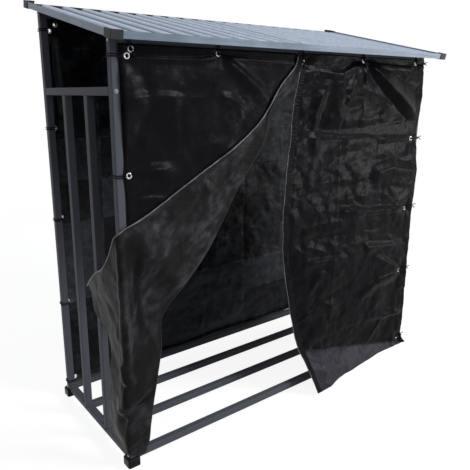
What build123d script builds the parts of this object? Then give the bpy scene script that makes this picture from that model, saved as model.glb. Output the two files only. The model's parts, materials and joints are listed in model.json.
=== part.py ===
"""Log store: a bolted square-tube frame on plastic feet, a corrugated lean-to roof and tarpaulin curtains.

Millimetres. X runs along the front, Y towards the back and Z up. The origin is on the ground,
below the middle of the roof.
"""
from build123d import *
import os
from math import atan, atan2, cos, sin

# Frame: overall sizes
frame_width = 1500.0
frame_depth = 560.0
front_height = 1374.0
back_height = 1504.0

# Frame: square tube, and where its rails sit
tube = 25.0
tube_wall = 1.2
tube_corner = 2.5
rail_lift = 22.0
cross_rail_lift = 1210.0
mid_rails = 2
end_bars = 2

# Frame: each long rail is two halves, one of them with a narrowed end that slides into the other
joint_gap = 0.4
spigot_length = 60.0
spigot_clearance = 0.3
spigot_neck = 8.0

# Feet
foot_side = 45.0
foot_floor = 5.0
foot_collar = 9.0
foot_chamfer = 5.0
foot_corner = 7.0
foot_clearance = 0.3

# Roof: corrugated sheet and how far it reaches past the frame
front_overhang = 75.0
back_overhang = 26.0
side_overhang = 34.0
sheet_thickness = 0.6
rib_pitch = 75.0
rib_depth = 12.0
lap_ribs = 1
lap_clearance = 0.3

# Roof: angle trims round the edge, and the moulded pieces at its corners
trim_height = 20.0
trim_flange = 18.0
trim_thickness = 1.0
trim_clearance = 0.3
trim_joint_x = -80.0
corner_leg = 38.0
corner_wall = 2.0
corner_lip = 7.0

# Tarpaulins: cloth hangs this far off the frame, and its solids are thicker than the cloth
cloth_gap = 0.5
cloth_bulk = 3.0
fold_bulk = 10.0
hem_lap = 2.0
hem_lift = 34.0
tarp_side_inset = 22.0

# Right-hand front curtain: free edge, as distances from the middle of the frame and fractions of its drop
right_free_edge = [(-28.0, 1.0), (-62.0, 0.80), (-93.0, 0.635), (-97.0, 0.535), (-48.0, 0.315), (-9.0, 0.18)]

# Right-hand front curtain: its lower hem kicks forward below a slanting line, most at the free corner
kick_free_x = 14.0
kick_free_height = 200.0
kick_post_height = 60.0
kick_slope = 0.44
kick_corner_x = 68.0
kick_floor = 12.0

# Left-hand front curtain: fold from the top middle down to the foot, and the edge of the part folded over
left_fold = [
    (-32.0, 1.0), (-85.0, 0.893), (-188.0, 0.773), (-428.0, 0.513), (-610.0, 0.365),
    (-640.0, 0.204), (-695.0, 0.005)]
left_edge = [(-58.0, 0.966), (-177.0, 0.852), (-336.0, 0.759), (-516.0, 0.683), (-664.0, 0.622)]

# Left-hand front curtain: its flap round the left end, as distances back and fractions of the drop
flap_corner_top = 0.592
flap_corner_low = 0.017
left_flap = [
    (22.0, 0.560), (88.0, 0.494), (162.0, 0.462), (258.0, 0.405), (190.0, 0.353), (100.0, 0.334),
    (81.0, 0.270), (120.0, 0.067), (64.0, 0.028)]

half_width = frame_width / 2
half_depth = frame_depth / 2
slope = atan2(back_height - front_height, frame_depth)
roof_plane = Plane(origin=(0, -half_depth, front_height), x_dir=(1, 0, 0), z_dir=(0, -sin(slope), cos(slope)))
roof_front = -front_overhang / cos(slope)
roof_back = (frame_depth + back_overhang) / cos(slope)
roof_half_width = half_width + side_overhang
inner_half_width = half_width - tube
inner_half_depth = half_depth - tube
frame_middle_y = (front_overhang - back_overhang) / 2
rail_top = rail_lift + tube
slack = trim_thickness + trim_clearance


def roof_height(y):
    """Height of the underside of the roof sheet at a distance y from the middle."""
    return front_height + (y + half_depth) * (back_height - front_height) / frame_depth


def square_tube(length, shrink=0.0):
    """Square tube along +Z from the origin, drawn in by shrink on each side."""
    side = tube - 2 * shrink
    bore = side - 2 * tube_wall
    outer = RectangleRounded(side, side, tube_corner)
    inner = RectangleRounded(bore, bore, tube_corner - tube_wall)
    return extrude(outer - inner, length)


def tube_x(x0, x1, y, z):
    """Square tube along X between x0 and x1, centred on y and z."""
    return Pos(x0, y, z) * Rot(Y=90) * square_tube(x1 - x0)


def tube_y(y0, y1, x, z):
    """Square tube along Y between y0 and y1, centred on x and z."""
    return Pos(x, y0, z) * Rot(X=-90) * square_tube(y1 - y0)


def tube_z(z0, z1, x, y):
    """Square tube along Z between z0 and z1, centred on x and y."""
    return Pos(x, y, z0) * square_tube(z1 - z0)


def split_rail(y, z):
    """Left and right halves of a long rail: the left half's narrowed end slides into the right half."""
    shrink = tube_wall + spigot_clearance
    bore = tube - 2 * shrink - 2 * tube_wall
    neck_side = tube - 2 * tube_wall
    neck_section = RectangleRounded(neck_side, neck_side, tube_corner - tube_wall)
    neck_section -= RectangleRounded(bore, bore, tube_corner - tube_wall)
    neck = Pos(-joint_gap / 2 - spigot_neck, y, z) * Rot(Y=90) * extrude(neck_section, spigot_neck)
    spigot = Rot(Y=90) * square_tube(spigot_neck + spigot_length, shrink)
    spigot = Pos(-joint_gap / 2 - spigot_neck, y, z) * spigot
    left = tube_x(-inner_half_width, -joint_gap / 2, y, z) + neck + spigot
    right = tube_x(joint_gap / 2, inner_half_width, y, z)
    return left, right


def post(y):
    """Left-hand post centred on y, from the floor of its foot to the roof, cut to the slope."""
    blank = tube_z(foot_floor, back_height + tube, -half_width + tube / 2, y)
    return split(blank, bisect_by=roof_plane, keep=Keep.BOTTOM)


def foot():
    """Front-left foot: a chamfered block with a socket for the post and a collar round its outer corner."""
    height = rail_lift + foot_collar
    block = extrude(RectangleRounded(foot_side, foot_side, foot_corner), height)
    block = chamfer(block.faces().sort_by(Axis.Z)[-1].edges(), foot_chamfer)
    socket_side = tube + 2 * foot_clearance
    socket = extrude(RectangleRounded(socket_side, socket_side, tube_corner), height)
    block -= Pos(0, 0, foot_floor) * socket
    reach = foot_side / 2 + socket_side / 2
    notch = Pos(-socket_side / 2, -socket_side / 2, rail_lift) * Box(
        reach, reach, height, align=(Align.MIN, Align.MIN, Align.MIN))
    block -= notch
    return Pos(-half_width + tube / 2, -half_depth + tube / 2, 0) * block


def corrugated(x0, ribs, wave, lift):
    """Corrugated sheet in the roof's own frame, from crest to crest: tangent arcs, valleys on the plane."""
    half_turn = 2 * atan(2 * rib_depth / wave)
    radius = wave / 4 / sin(half_turn)
    middle = rib_depth / 2 + sheet_thickness / 2 + lift
    offset = sheet_thickness / 2

    def line(side):
        """One face of the sheet, above or below its middle, as arcs between its turning points."""
        arcs = []
        for k in range(2 * ribs + 1):
            up = 1 if k % 2 == 0 else -1
            centre_x = x0 + k * wave / 2
            centre_z = middle + up * (rib_depth / 2 - radius)
            r = radius + up * side * offset
            lo = -half_turn if k > 0 else 0.0
            hi = half_turn if k < 2 * ribs else 0.0
            points = [(centre_x + r * sin(a), centre_z + up * r * cos(a)) for a in (lo, (lo + hi) / 2, hi)]
            arcs.append(ThreePointArc(*points))
        return arcs

    top = line(1)
    bottom = line(-1)
    ends = [Line(top[0] @ 0, bottom[0] @ 0), Line(top[-1] @ 1, bottom[-1] @ 1)]
    section = make_face(Wire(top + bottom + ends))
    length = roof_back - roof_front - 2 * slack
    return Pos(0, roof_front + slack + length, 0) * Rot(X=90) * extrude(section, length)


def angle_trim(length):
    """Edge trim along +X: a flange under the sheet, inwards along +Y, and an upstand at y = 0."""
    section = Polyline(
        (0, 0), (trim_flange, 0), (trim_flange, trim_thickness), (trim_thickness, trim_thickness),
        (trim_thickness, trim_height), (0, trim_height), close=True)
    return Pos(0, 0, -slack) * Rot(0, 90, 0) * Rot(0, 0, 90) * extrude(make_face(section), length)


def corner_piece():
    """Moulded corner at the front left of the roof: two walls, a floor under the flanges and a top lip."""
    height = trim_height + 2 * corner_wall + 2 * trim_clearance
    reach = corner_leg
    gap = corner_wall + trim_clearance
    blank = Box(reach, reach, height, align=(Align.MIN, Align.MIN, Align.MIN))
    blank = fillet(blank.edges().filter_by(Axis.Z).sort_by_distance((0, 0, height / 2))[0], corner_wall)
    cavity = Pos(corner_wall, corner_wall, corner_wall) * Box(
        reach, reach, height - 2 * corner_wall, align=(Align.MIN, Align.MIN, Align.MIN))
    mouth = Pos(corner_lip, corner_lip, corner_wall) * Box(
        reach, reach, height, align=(Align.MIN, Align.MIN, Align.MIN))
    floor_width = gap + trim_flange
    clear = Pos(floor_width, floor_width, 0) * Box(
        reach, reach, height, align=(Align.MIN, Align.MIN, Align.MIN))
    piece = blank - cavity - mouth - clear
    return Pos(-roof_half_width - gap, roof_front - gap, -slack - gap) * piece


def hang(points, top):
    """Turn edge points given as fractions of a curtain's drop into heights."""
    return [(x, hem_lift + f * (top - hem_lift)) for x, f in points]


def front_slab(outline, bulk=cloth_bulk):
    """Cloth solid just in front of the frame, from an outline of x and z."""
    face = make_face(Polyline(*outline, close=True))
    return Pos(0, -half_depth - cloth_gap, 0) * Rot(X=90) * extrude(face, bulk)


def right_curtain(top):
    """Right-hand curtain: flat against the frame, with its lower hem kicked forward."""
    edge_x = half_width - tarp_side_inset
    free_end = (kick_free_x, kick_free_height)
    post_end = (edge_x, kick_post_height)
    fall = (kick_free_height - kick_post_height) / (edge_x - kick_free_x)

    def kicked(x, z):
        """Point on the inside of the kicked hem."""
        drop = kick_free_height - (x - kick_free_x) * fall - z
        return (x, -half_depth - cloth_gap - kick_slope * drop, z)

    corners = [free_end, post_end, (edge_x, kick_floor), (kick_corner_x, kick_floor)]
    hem = make_face(Polyline(*[kicked(x, z) for x, z in corners], close=True))
    flat = front_slab(hang(right_free_edge, top) + [free_end, post_end, (edge_x, top)])
    return flat + extrude(hem, cloth_bulk, dir=(0, -1, 0))


def left_curtain(top):
    """Left-hand curtain: tied to its post, folded over itself and thrown round the left end."""
    post_x = -half_width + tarp_side_inset
    outer_x = -half_width - cloth_gap - fold_bulk
    outer_y = -half_depth - cloth_gap - fold_bulk
    fold = hang(left_fold, top)
    (_, corner_top), (_, corner_low) = hang([(outer_x, flap_corner_top), (outer_x, flap_corner_low)], top)
    tied = front_slab([(post_x, top)] + fold + [(post_x, fold[-1][1])])
    over = fold + [(outer_x, corner_low), (outer_x, corner_top)] + hang(left_edge, top)[::-1]
    flap_outline = [(y - half_depth, z) for y, z in hang(left_flap, top)]
    flap_outline = [(outer_y, corner_top)] + flap_outline + [(outer_y, corner_low)]
    flap_face = make_face(Polyline(*flap_outline, close=True))
    flap = Pos(outer_x, 0, 0) * Rot(0, 0, 90) * Rot(90, 0, 0) * extrude(flap_face, cloth_bulk)
    return tied + front_slab(over, fold_bulk) + flap


def build_frame():
    """Posts, feet, rails and bars."""
    parts = {}
    front_y = -half_depth + tube / 2
    side_x = -half_width + tube / 2
    sides = {"left": lambda p: p, "right": lambda p: mirror(p, about=Plane.YZ)}
    left_feet = {"front": foot(), "back": mirror(foot(), about=Plane.XZ)}
    for end, y in (("front", front_y), ("back", -front_y)):
        for side, place in sides.items():
            parts[f"{end}_post_{side}"] = place(post(y))
            parts[f"{end}_foot_{side}"] = place(left_feet[end])

    rail_z = rail_lift + tube / 2
    step = (frame_depth - tube) / (mid_rails + 1)
    names = ["front"] + [f"middle_{k + 1}" for k in range(mid_rails)] + ["back"]
    for k, name in enumerate(names):
        halves = split_rail(front_y + k * step, rail_z)
        for side, half in zip(sides, halves):
            parts[f"base_rail_{name}_{side}"] = half

    tops = {"front": roof_height(-half_depth), "back": roof_height(inner_half_depth)}
    for end, y in (("front", front_y), ("back", -front_y)):
        halves = split_rail(y, tops[end] - tube / 2)
        for side, half in zip(sides, halves):
            parts[f"top_rail_{end}_{side}"] = half

    side_rail = tube_y(-inner_half_depth, inner_half_depth, side_x, rail_z)
    cross_rail = tube_y(-inner_half_depth, inner_half_depth, side_x, cross_rail_lift + tube / 2)
    bar_step = (frame_depth - tube) / (end_bars + 1)
    for side, place in sides.items():
        parts[f"base_side_rail_{side}"] = place(side_rail)
        parts[f"cross_rail_{side}"] = place(cross_rail)
        for k in range(end_bars):
            bar = tube_z(rail_top, cross_rail_lift, side_x, front_y + (k + 1) * bar_step)
            parts[f"end_bar_{side}_{k + 1}"] = place(bar)
    return parts


def build_roof():
    """Two lapped corrugated sheets, the trims round them and the four corner pieces."""
    flat = {}
    sheet_half = roof_half_width - slack
    ribs = round(2 * sheet_half / rib_pitch)
    wave = 2 * sheet_half / ribs
    left_ribs = (ribs + lap_ribs) // 2
    flat["roof_sheet_left"] = corrugated(-sheet_half, left_ribs, wave, 0)
    right_x = -sheet_half + (left_ribs - lap_ribs) * wave
    lap_lift = sheet_thickness + lap_clearance
    flat["roof_sheet_right"] = corrugated(right_x, ribs - left_ribs + lap_ribs, wave, lap_lift)

    run = roof_back - roof_front
    middle = (roof_back + roof_front) / 2
    mitre = trim_flange + trim_clearance
    spans = {"left": (-roof_half_width, trim_joint_x - joint_gap / 2),
             "right": (trim_joint_x + joint_gap / 2, roof_half_width)}
    for side, (x0, x1) in spans.items():
        trim = angle_trim(x1 - x0)
        flat[f"front_trim_{side}"] = Pos(x0, roof_front, 0) * trim
        flat[f"back_trim_{side}"] = mirror(Pos(x0, -roof_back, 0) * trim, about=Plane.XZ)
    side_length = run / 2 - mitre - joint_gap / 2
    side_trim = Rot(0, 0, 90) * mirror(angle_trim(side_length), about=Plane.XZ)
    starts = {"front": roof_front + mitre, "back": middle + joint_gap / 2}
    for end, y in starts.items():
        trim = Pos(-roof_half_width, y, 0) * side_trim
        flat[f"side_trim_left_{end}"] = trim
        flat[f"side_trim_right_{end}"] = mirror(trim, about=Plane.YZ)

    front_corner = corner_piece()
    back_corner = mirror(Pos(0, -2 * middle, 0) * front_corner, about=Plane.XZ)
    for end, corner in (("front", front_corner), ("back", back_corner)):
        flat[f"roof_corner_{end}_left"] = corner
        flat[f"roof_corner_{end}_right"] = mirror(corner, about=Plane.YZ)
    return {name: roof_plane.location * piece for name, piece in flat.items()}


def build_tarps():
    """The two front curtains and the back tarpaulin, each up to its rail."""
    front_top = roof_height(-half_depth) - tube + hem_lap
    back_top = roof_height(inner_half_depth) - tube + hem_lap
    edge_x = half_width - tarp_side_inset
    back = [(-edge_x, hem_lift), (edge_x, hem_lift), (edge_x, back_top), (-edge_x, back_top)]
    return {"front_curtain_left": left_curtain(front_top),
            "front_curtain_right": right_curtain(front_top),
            "back_tarp": mirror(front_slab(back), about=Plane.XZ)}


def main():
    """Build every piece about the middle of the frame and write each, moved to the middle of the roof."""
    os.makedirs("parts", exist_ok=True)
    pieces = {}
    for build in (build_frame, build_roof, build_tarps):
        pieces.update(build())
    for name, piece in pieces.items():
        export_step(Pos(0, frame_middle_y, 0) * piece, f"parts/{name}.step")


main()
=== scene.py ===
"""Looks of a log store: square-tube frame, corrugated roof and tied tarpaulins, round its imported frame."""
import itertools
import json
import logging
import math
from collections.abc import Callable, Sequence
from dataclasses import dataclass, field
from enum import Enum

import bpy
import numpy as np
from mathutils import Matrix, Vector


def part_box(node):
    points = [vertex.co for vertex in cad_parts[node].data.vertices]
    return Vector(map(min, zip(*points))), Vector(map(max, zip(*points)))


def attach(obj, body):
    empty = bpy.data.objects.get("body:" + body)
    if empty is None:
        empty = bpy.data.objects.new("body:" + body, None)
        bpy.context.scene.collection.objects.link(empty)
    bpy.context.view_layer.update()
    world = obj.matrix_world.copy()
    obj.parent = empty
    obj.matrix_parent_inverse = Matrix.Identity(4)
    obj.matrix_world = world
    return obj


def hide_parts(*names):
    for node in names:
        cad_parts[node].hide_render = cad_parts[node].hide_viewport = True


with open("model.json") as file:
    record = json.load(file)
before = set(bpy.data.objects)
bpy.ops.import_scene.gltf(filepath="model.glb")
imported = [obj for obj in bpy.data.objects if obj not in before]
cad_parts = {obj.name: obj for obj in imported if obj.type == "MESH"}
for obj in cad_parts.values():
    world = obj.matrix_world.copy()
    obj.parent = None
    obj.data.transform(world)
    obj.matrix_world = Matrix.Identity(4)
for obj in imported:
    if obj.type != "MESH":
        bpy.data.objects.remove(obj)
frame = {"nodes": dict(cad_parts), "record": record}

log = logging.getLogger("log_store")

MM = 0.001
BODY = "root"
IMAGE_SIDE = 470
CLOTH_MAP, HANG_MAP, CORD_MAP = "cloth", "hang", "cord"
BLACK, WHITE = (0.0, 0.0, 0.0), (1.0, 1.0, 1.0)
UP = (0.0, 0.0, 1.0)
SHARP_ANGLE = math.radians(38.0)
TINY = 1e-9
Colour = tuple[float, float, float]
Spot = tuple[float, float]
Array = np.ndarray


class Slot(Enum):
    """The record's material slots."""

    FRAME = "frame_steel"
    ROOF = "galvanised_sheet"
    TRIM = "trim_steel"
    CORNER = "corner_plastic"
    FOOT = "foot_plastic"
    CLOTH = "tarpaulin"


class Holder(Enum):
    """What a tie's cord is lashed round."""

    LEFT_POST = -1
    RAIL = 0
    RIGHT_POST = 1


def linked(name: str, data: bpy.types.ID) -> bpy.types.Object:
    """Make an object and put it in the scene."""
    made = bpy.data.objects.new(name, data)
    bpy.context.collection.objects.link(made)
    return made


def settle(made: bpy.types.Object, slot: Slot, node: str | None = None) -> None:
    """Hide the CAD node that a piece replaces, if any, and let the piece ride on the body."""
    if node is not None:
        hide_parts(node)
    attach(made, BODY)
    log.info("built %s", made.name)


# Node graphs


def operator(operation: str, swapped: bool = False) -> Callable[["Value", "Value | float"], "Value"]:
    """Make a method of Value that adds a Math node.

    Args:
        operation: The node's operation.
        swapped: Whether the other operand comes first.

    Returns:
        The method.
    """

    def method(self: "Value", other: "Value | float") -> "Value":
        """Join the two operands by the operation."""
        return self.graph.math(operation, *((other, self) if swapped else (self, other)))

    return method


class Value:
    """A socket of a node graph that takes part in Python expressions."""

    def __init__(self, graph: "Graph", socket: bpy.types.NodeSocket) -> None:
        """Wrap a socket.

        Args:
            graph: The graph that the socket's node is in.
            socket: The output socket.
        """
        self.graph = graph
        self.socket = socket

    def of(self, name: str | int) -> "Value":
        """Another output of the same node."""
        return Value(self.graph, self.socket.node.outputs[name])

    __add__ = __radd__ = operator("ADD")
    __sub__, __rsub__ = operator("SUBTRACT"), operator("SUBTRACT", swapped=True)
    __mul__ = __rmul__ = operator("MULTIPLY")
    __truediv__, __pow__ = operator("DIVIDE"), operator("POWER")
    at_least, at_most = operator("MAXIMUM"), operator("MINIMUM")

    def or_of(self, *names: str) -> "Value":
        """The largest of this output and others of the same node."""
        found = self
        for name in names:
            found = found.at_least(self.of(name))
        return found

    def between(self, low: float, high: float) -> "Value":
        """Smooth step: 0 below low and 1 above high."""
        values = {"Value": self, "From Min": low, "From Max": high}
        return self.graph.node("ShaderNodeMapRange", {"interpolation_type": "SMOOTHSTEP"}, values)


class Graph:
    """A node tree, with one method that adds any node."""

    def __init__(self, tree: bpy.types.NodeTree) -> None:
        """Take a tree and empty it.

        Args:
            tree: A material's or a geometry tree.
        """
        self.tree = tree
        tree.nodes.clear()

    def node(
        self, kind: str, settings: dict | None = None, values: dict | None = None, output: str | int = 0
    ) -> Value | None:
        """Add a node.

        Args:
            kind: The node's type.
            settings: Its properties, set first.
            values: What its input sockets, by name or number, are linked or set to.
            output: The output wanted.

        Returns:
            That output, or None where the node has none.
        """
        made = self.tree.nodes.new(kind)
        for name, setting in (settings or {}).items():
            setattr(made, name, setting)
        for name, value in (values or {}).items():
            socket = made.inputs[name]
            if isinstance(value, Value):
                self.tree.links.new(value.socket, socket)
            elif socket.type == "RGBA" and len(value) == 3:
                socket.default_value = (*value, 1.0)
            else:
                socket.default_value = value
        return Value(self, made.outputs[output]) if len(made.outputs) else None

    def math(self, operation: str, *operands: Value | float) -> Value:
        """A Math node."""
        return self.node("ShaderNodeMath", {"operation": operation}, dict(enumerate(operands)))

    def vector(self, operation: str, *operands: "Value | Sequence[float]", output: int = 0) -> Value:
        """A Vector Math node."""
        return self.node("ShaderNodeVectorMath", {"operation": operation}, dict(enumerate(operands)), output)

    def split(self, vector: Value) -> Value:
        """A vector's X, with its Y and Z as the other outputs of the same node."""
        return self.node("ShaderNodeSeparateXYZ", None, {0: vector})

    def combine(self, *parts: Value | float) -> Value:
        """A vector from its parts."""
        return self.node("ShaderNodeCombineXYZ", None, dict(enumerate(parts)))


class MaterialGraph(Graph):
    """A material's nodes, ending in one Principled shader."""

    def __init__(self, name: str) -> None:
        """Start a material.

        Args:
            name: The material's name.
        """
        self.material = bpy.data.materials.new(name)
        self.material.use_nodes = True
        super().__init__(self.material.node_tree)

    def place(self, scale: Sequence[float] = (1.0, 1.0, 1.0)) -> Value:
        """Object coordinates in metres, stretched by scale."""
        coordinates = self.node("ShaderNodeTexCoord", output="Object")
        return self.vector("MULTIPLY", coordinates, scale)

    def mapped(self, name: str) -> Value:
        """Place on one of the piece's own maps, in metres."""
        return self.node("ShaderNodeUVMap", {"uv_map": name})

    def cloth_place(self, scale: Sequence[float] = (1.0, 1.0, 1.0)) -> Value:
        """Place on the flat cloth in metres, stretched by scale."""
        return self.vector("MULTIPLY", self.mapped(CLOTH_MAP), scale)

    def noise(self, place: Value, scale: float, detail: float = 2.0, roughness: float = 0.5) -> Value:
        """Cloudy noise, from 0 to 1.

        Args:
            place: Where it is read.
            scale: Clouds per metre.
            detail: Octaves.
            roughness: How strong the finer octaves are.

        Returns:
            The noise.
        """
        settings = {"Vector": place, "Scale": scale, "Detail": detail, "Roughness": roughness}
        return self.node("ShaderNodeTexNoise", None, settings)

    def blend(self, amount: Value | float, first: Value | Colour, second: Value | Colour) -> Value:
        """First colour, turning to the second as amount goes to 1."""
        return self.node("ShaderNodeMix", {"data_type": "RGBA"}, {0: amount, 6: first, 7: second}, 2)

    def bump(self, height: Value, depth: float, onto: Value | None = None) -> Value:
        """A normal with relief.

        Args:
            height: The relief, from 0 to 1.
            depth: What a height of 1 stands for, in metres.
            onto: Another bump's normal, which this relief is added to.

        Returns:
            The normal.
        """
        values = {"Height": height, "Distance": depth, "Strength": 1.0}
        if onto is not None:
            values["Normal"] = onto
        return self.node("ShaderNodeBump", None, values)

    def finish(self, **sockets: Value | float | Colour) -> bpy.types.Material:
        """Put the Principled shader and the output at the end.

        Args:
            sockets: The shader's inputs, with _ for a space in their names.

        Returns:
            The material.
        """
        values = {name.replace("_", " "): value for name, value in sockets.items()}
        shader = self.node("ShaderNodeBsdfPrincipled", None, values)
        self.node("ShaderNodeOutputMaterial", None, {"Surface": shader})
        return self.material


class ShapeTree(Graph):
    """A geometry tree that stands one shape on every spot of a mesh."""

    def __init__(self, name: str, sizes: dict[str, float]) -> None:
        """Start a tree.

        Args:
            name: The tree's name.
            sizes: The names of its inputs and what they are set to, in metres.
        """
        super().__init__(bpy.data.node_groups.new(name, "GeometryNodeTree"))
        self.name = name
        self.sizes = sizes
        self.tree.interface.new_socket("Spots", in_out="INPUT", socket_type="NodeSocketGeometry")
        for size in sizes:
            self.tree.interface.new_socket(size, in_out="INPUT", socket_type="NodeSocketFloat")
        self.tree.interface.new_socket("Shapes", in_out="OUTPUT", socket_type="NodeSocketGeometry")
        self.entry = self.node("NodeGroupInput")

    def join(self, *parts: Value) -> Value:
        """Several shapes as one."""
        joined = self.node("GeometryNodeJoinGeometry")
        for part in parts:
            self.tree.links.new(part.socket, joined.socket.node.inputs[0])
        return joined

    def scaled(self, shape: Value, *sizes: Value | float) -> Value:
        """A shape stretched along its three axes."""
        return self.node("GeometryNodeTransform", None, {"Geometry": shape, "Scale": self.combine(*sizes)})

    def end(self, shape: Value, finish: "Finish") -> None:
        """Stand the shape on the spots, turned to face out of them, and give it its finish."""
        vector = {"data_type": "FLOAT_VECTOR"}
        axes = {
            "Primary Axis": self.node("GeometryNodeInputNamedAttribute", vector, {"Name": "facing"}),
            "Secondary Axis": self.node("GeometryNodeInputNamedAttribute", vector, {"Name": "along"}),
        }
        turn = self.node("FunctionNodeAxesToRotation", {"primary_axis": "Z", "secondary_axis": "X"}, axes)
        spread = {"Points": self.entry, "Instance": shape, "Rotation": turn}
        stood = self.node("GeometryNodeInstanceOnPoints", None, spread)
        real = self.node("GeometryNodeRealizeInstances", None, {0: stood})
        paint = {"Geometry": real, "Material": finish.material()}
        self.node("NodeGroupOutput", None, {0: self.node("GeometryNodeSetMaterial", None, paint)})

    def grow(self, places: Array, facing: Array, along: Array) -> bpy.types.Mesh:
        """Run the tree.

        Args:
            places: The spots, in metres.
            facing: Which way each shape faces.
            along: Which way each shape's length runs.

        Returns:
            All the shapes as one plain mesh.
        """
        mesh = bpy.data.meshes.new(self.name)
        mesh.from_pydata(np.asarray(places).tolist(), [], [])
        for name, vectors in (("facing", facing), ("along", along)):
            layer = mesh.attributes.new(name, "FLOAT_VECTOR", "POINT")
            layer.data.foreach_set("vector", np.asarray(vectors, np.float32).ravel())
        spots = linked(self.name, mesh)
        modifier = spots.modifiers.new(self.name, "NODES")
        modifier.node_group = self.tree
        for item in self.tree.interface.items_tree:
            if item.name in self.sizes:
                modifier[item.identifier] = self.sizes[item.name]
        bpy.context.view_layer.update()
        evaluated = spots.evaluated_get(bpy.context.evaluated_depsgraph_get())
        grown = bpy.data.meshes.new_from_object(evaluated)
        bpy.data.objects.remove(spots)
        bpy.data.meshes.remove(mesh)
        grown.shade_smooth()
        grown.set_sharp_from_angle(angle=SHARP_ANGLE)
        return grown


# Finishes


@dataclass(frozen=True)
class Finish:
    """A finish that pieces wear."""

    name: str

    def material(self) -> bpy.types.Material:
        """The finish's material, made once."""
        return bpy.data.materials.get(self.name) or self.build(MaterialGraph(self.name))

    def build(self, graph: MaterialGraph) -> bpy.types.Material:
        """Make the material's nodes."""
        raise NotImplementedError


FRAME_DEPTH, ROOF_RISE, FRONT_ROOF_LEVEL, FRAME_SHIFT = 560.0, 130.0, 1.374, 0.0245
ROOF_PITCH = ROOF_RISE / FRAME_DEPTH
ROOF_START = FRONT_ROOF_LEVEL + (FRAME_DEPTH / 2 * MM - FRAME_SHIFT) * ROOF_PITCH
WAVE_TURNS = 20.0


@dataclass(frozen=True)
class PowderCoat(Finish):
    """Powder coat on steel: fine orange peel, dust and small scuffs."""

    colour: Colour = (0.104, 0.112, 0.130)
    roughness: float = 0.40
    dust: Colour = (0.120, 0.128, 0.145)
    nicked: Colour = (0.20, 0.20, 0.21)
    peel_per_metre: float = 900.0
    specular: float = 0.045

    def build(self, graph: MaterialGraph) -> bpy.types.Material:
        """Make the material's nodes."""
        place = graph.place()
        cloud = graph.noise(place, 14.0, 4.0, 0.6)
        streak = graph.noise(graph.place((60.0, 60.0, 4.0)), 1.0, 3.0, 0.65)
        dusty = cloud.between(0.48, 0.78) * streak.between(0.42, 0.75) * 0.55
        nick = graph.noise(place, 240.0, 2.0, 0.5).between(0.70, 0.78) * cloud.between(0.52, 0.70)
        colour = graph.blend(dusty, self.colour, self.dust)
        colour = graph.blend(nick * 0.7, colour, self.nicked)
        roughness = self.roughness + (cloud - 0.5) * 0.16 + dusty * 0.25
        peel = graph.noise(place, self.peel_per_metre, 1.0, 0.4)
        normal = graph.bump(peel, 0.00012, graph.bump(nick, -0.0002))
        return graph.finish(
            Base_Color=colour, Roughness=roughness, Normal=normal, Specular_IOR_Level=self.specular
        )


@dataclass(frozen=True)
class Galvanised(Finish):
    """Galvanised roof sheet: spangle, rolling streaks down the slope, water marks and painted shade in the
    bottoms of its valleys.
    """

    colour: Colour = (0.49, 0.55, 0.65)
    dark: Colour = (0.34, 0.40, 0.50)
    stained: Colour = (0.30, 0.33, 0.37)
    # Deep blue of the painted shade in the bottoms of the valleys, and the heights above the sheet's lowest
    # level over which it fades out.
    valley: Colour = (0.030, 0.048, 0.082)
    valley_rise: Spot = (0.0036, 0.0104)
    spangle_per_metre: float = 110.0
    metallic: float = 0.50
    specular: float = 0.10
    tint: Colour = (0.74, 0.78, 0.86)

    def build(self, graph: MaterialGraph) -> bpy.types.Material:
        """Make the material's nodes."""
        place = graph.place()
        values = {"Vector": place, "Scale": self.spangle_per_metre}
        cells = graph.node("ShaderNodeTexVoronoi", {"feature": "F1"}, values, "Color")
        spangle = graph.node("ShaderNodeSeparateColor", None, {"Color": cells})
        streak = graph.noise(graph.place((90.0, 3.0, 3.0)), 1.0, 4.0, 0.6)
        marks = graph.noise(place, 9.0, 5.0, 0.62)
        tone = spangle * 0.28 + streak * 0.42 + marks * 0.30
        colour = graph.blend(tone.between(0.25, 0.72), self.dark, self.colour)
        grime = marks.between(0.60, 0.82) * 0.35
        colour = graph.blend(grime, colour, self.stained)
        roughness = 0.30 + spangle * 0.08 + streak * 0.12 + grime * 0.3
        # Painted shade: the colour turns deep blue where the sheet lies low, in the bottoms of its valleys.
        rise = graph.vector("DOT_PRODUCT", place, (0.0, -ROOF_PITCH, 1.0), output="Value") - ROOF_START
        valley = 1.0 - rise.between(*self.valley_rise)
        colour = graph.blend(valley * (0.80 + streak * 0.2), colour, self.valley)
        normal = graph.bump(spangle, 0.00004, graph.bump(streak, 0.00025))
        return graph.finish(
            Base_Color=colour, Metallic=self.metallic, Roughness=roughness, Normal=normal,
            Specular_IOR_Level=self.specular, Specular_Tint=self.tint,
        )


@dataclass(frozen=True)
class TrimPaint(Finish):
    """Satin paint on the folded roof trim, a little chalky in cloudy patches and runs."""

    colour: Colour = (0.15, 0.195, 0.25)
    pale: Colour = (0.27, 0.33, 0.41)
    chipped: Colour = (0.10, 0.11, 0.12)
    metallic: float = 0.15

    def build(self, graph: MaterialGraph) -> bpy.types.Material:
        """Make the material's nodes."""
        place = graph.place()
        cloud = graph.noise(place, 7.0, 4.0, 0.55)
        run = graph.noise(graph.place((2.5, 2.5, 160.0)), 1.0, 3.0, 0.6)
        tone = cloud * 0.6 + run * 0.4
        chip = graph.noise(place, 160.0, 2.0, 0.5).between(0.72, 0.78) * cloud.between(0.5, 0.7)
        colour = graph.blend(tone.between(0.35, 0.68), self.colour, self.pale)
        colour = graph.blend(chip * 0.6, colour, self.chipped)
        roughness = 0.36 + cloud * 0.14
        normal = graph.bump(graph.noise(place, 700.0, 1.0, 0.4), 0.0001, graph.bump(run, 0.0002))
        return graph.finish(Base_Color=colour, Roughness=roughness, Normal=normal, Metallic=self.metallic)


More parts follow.
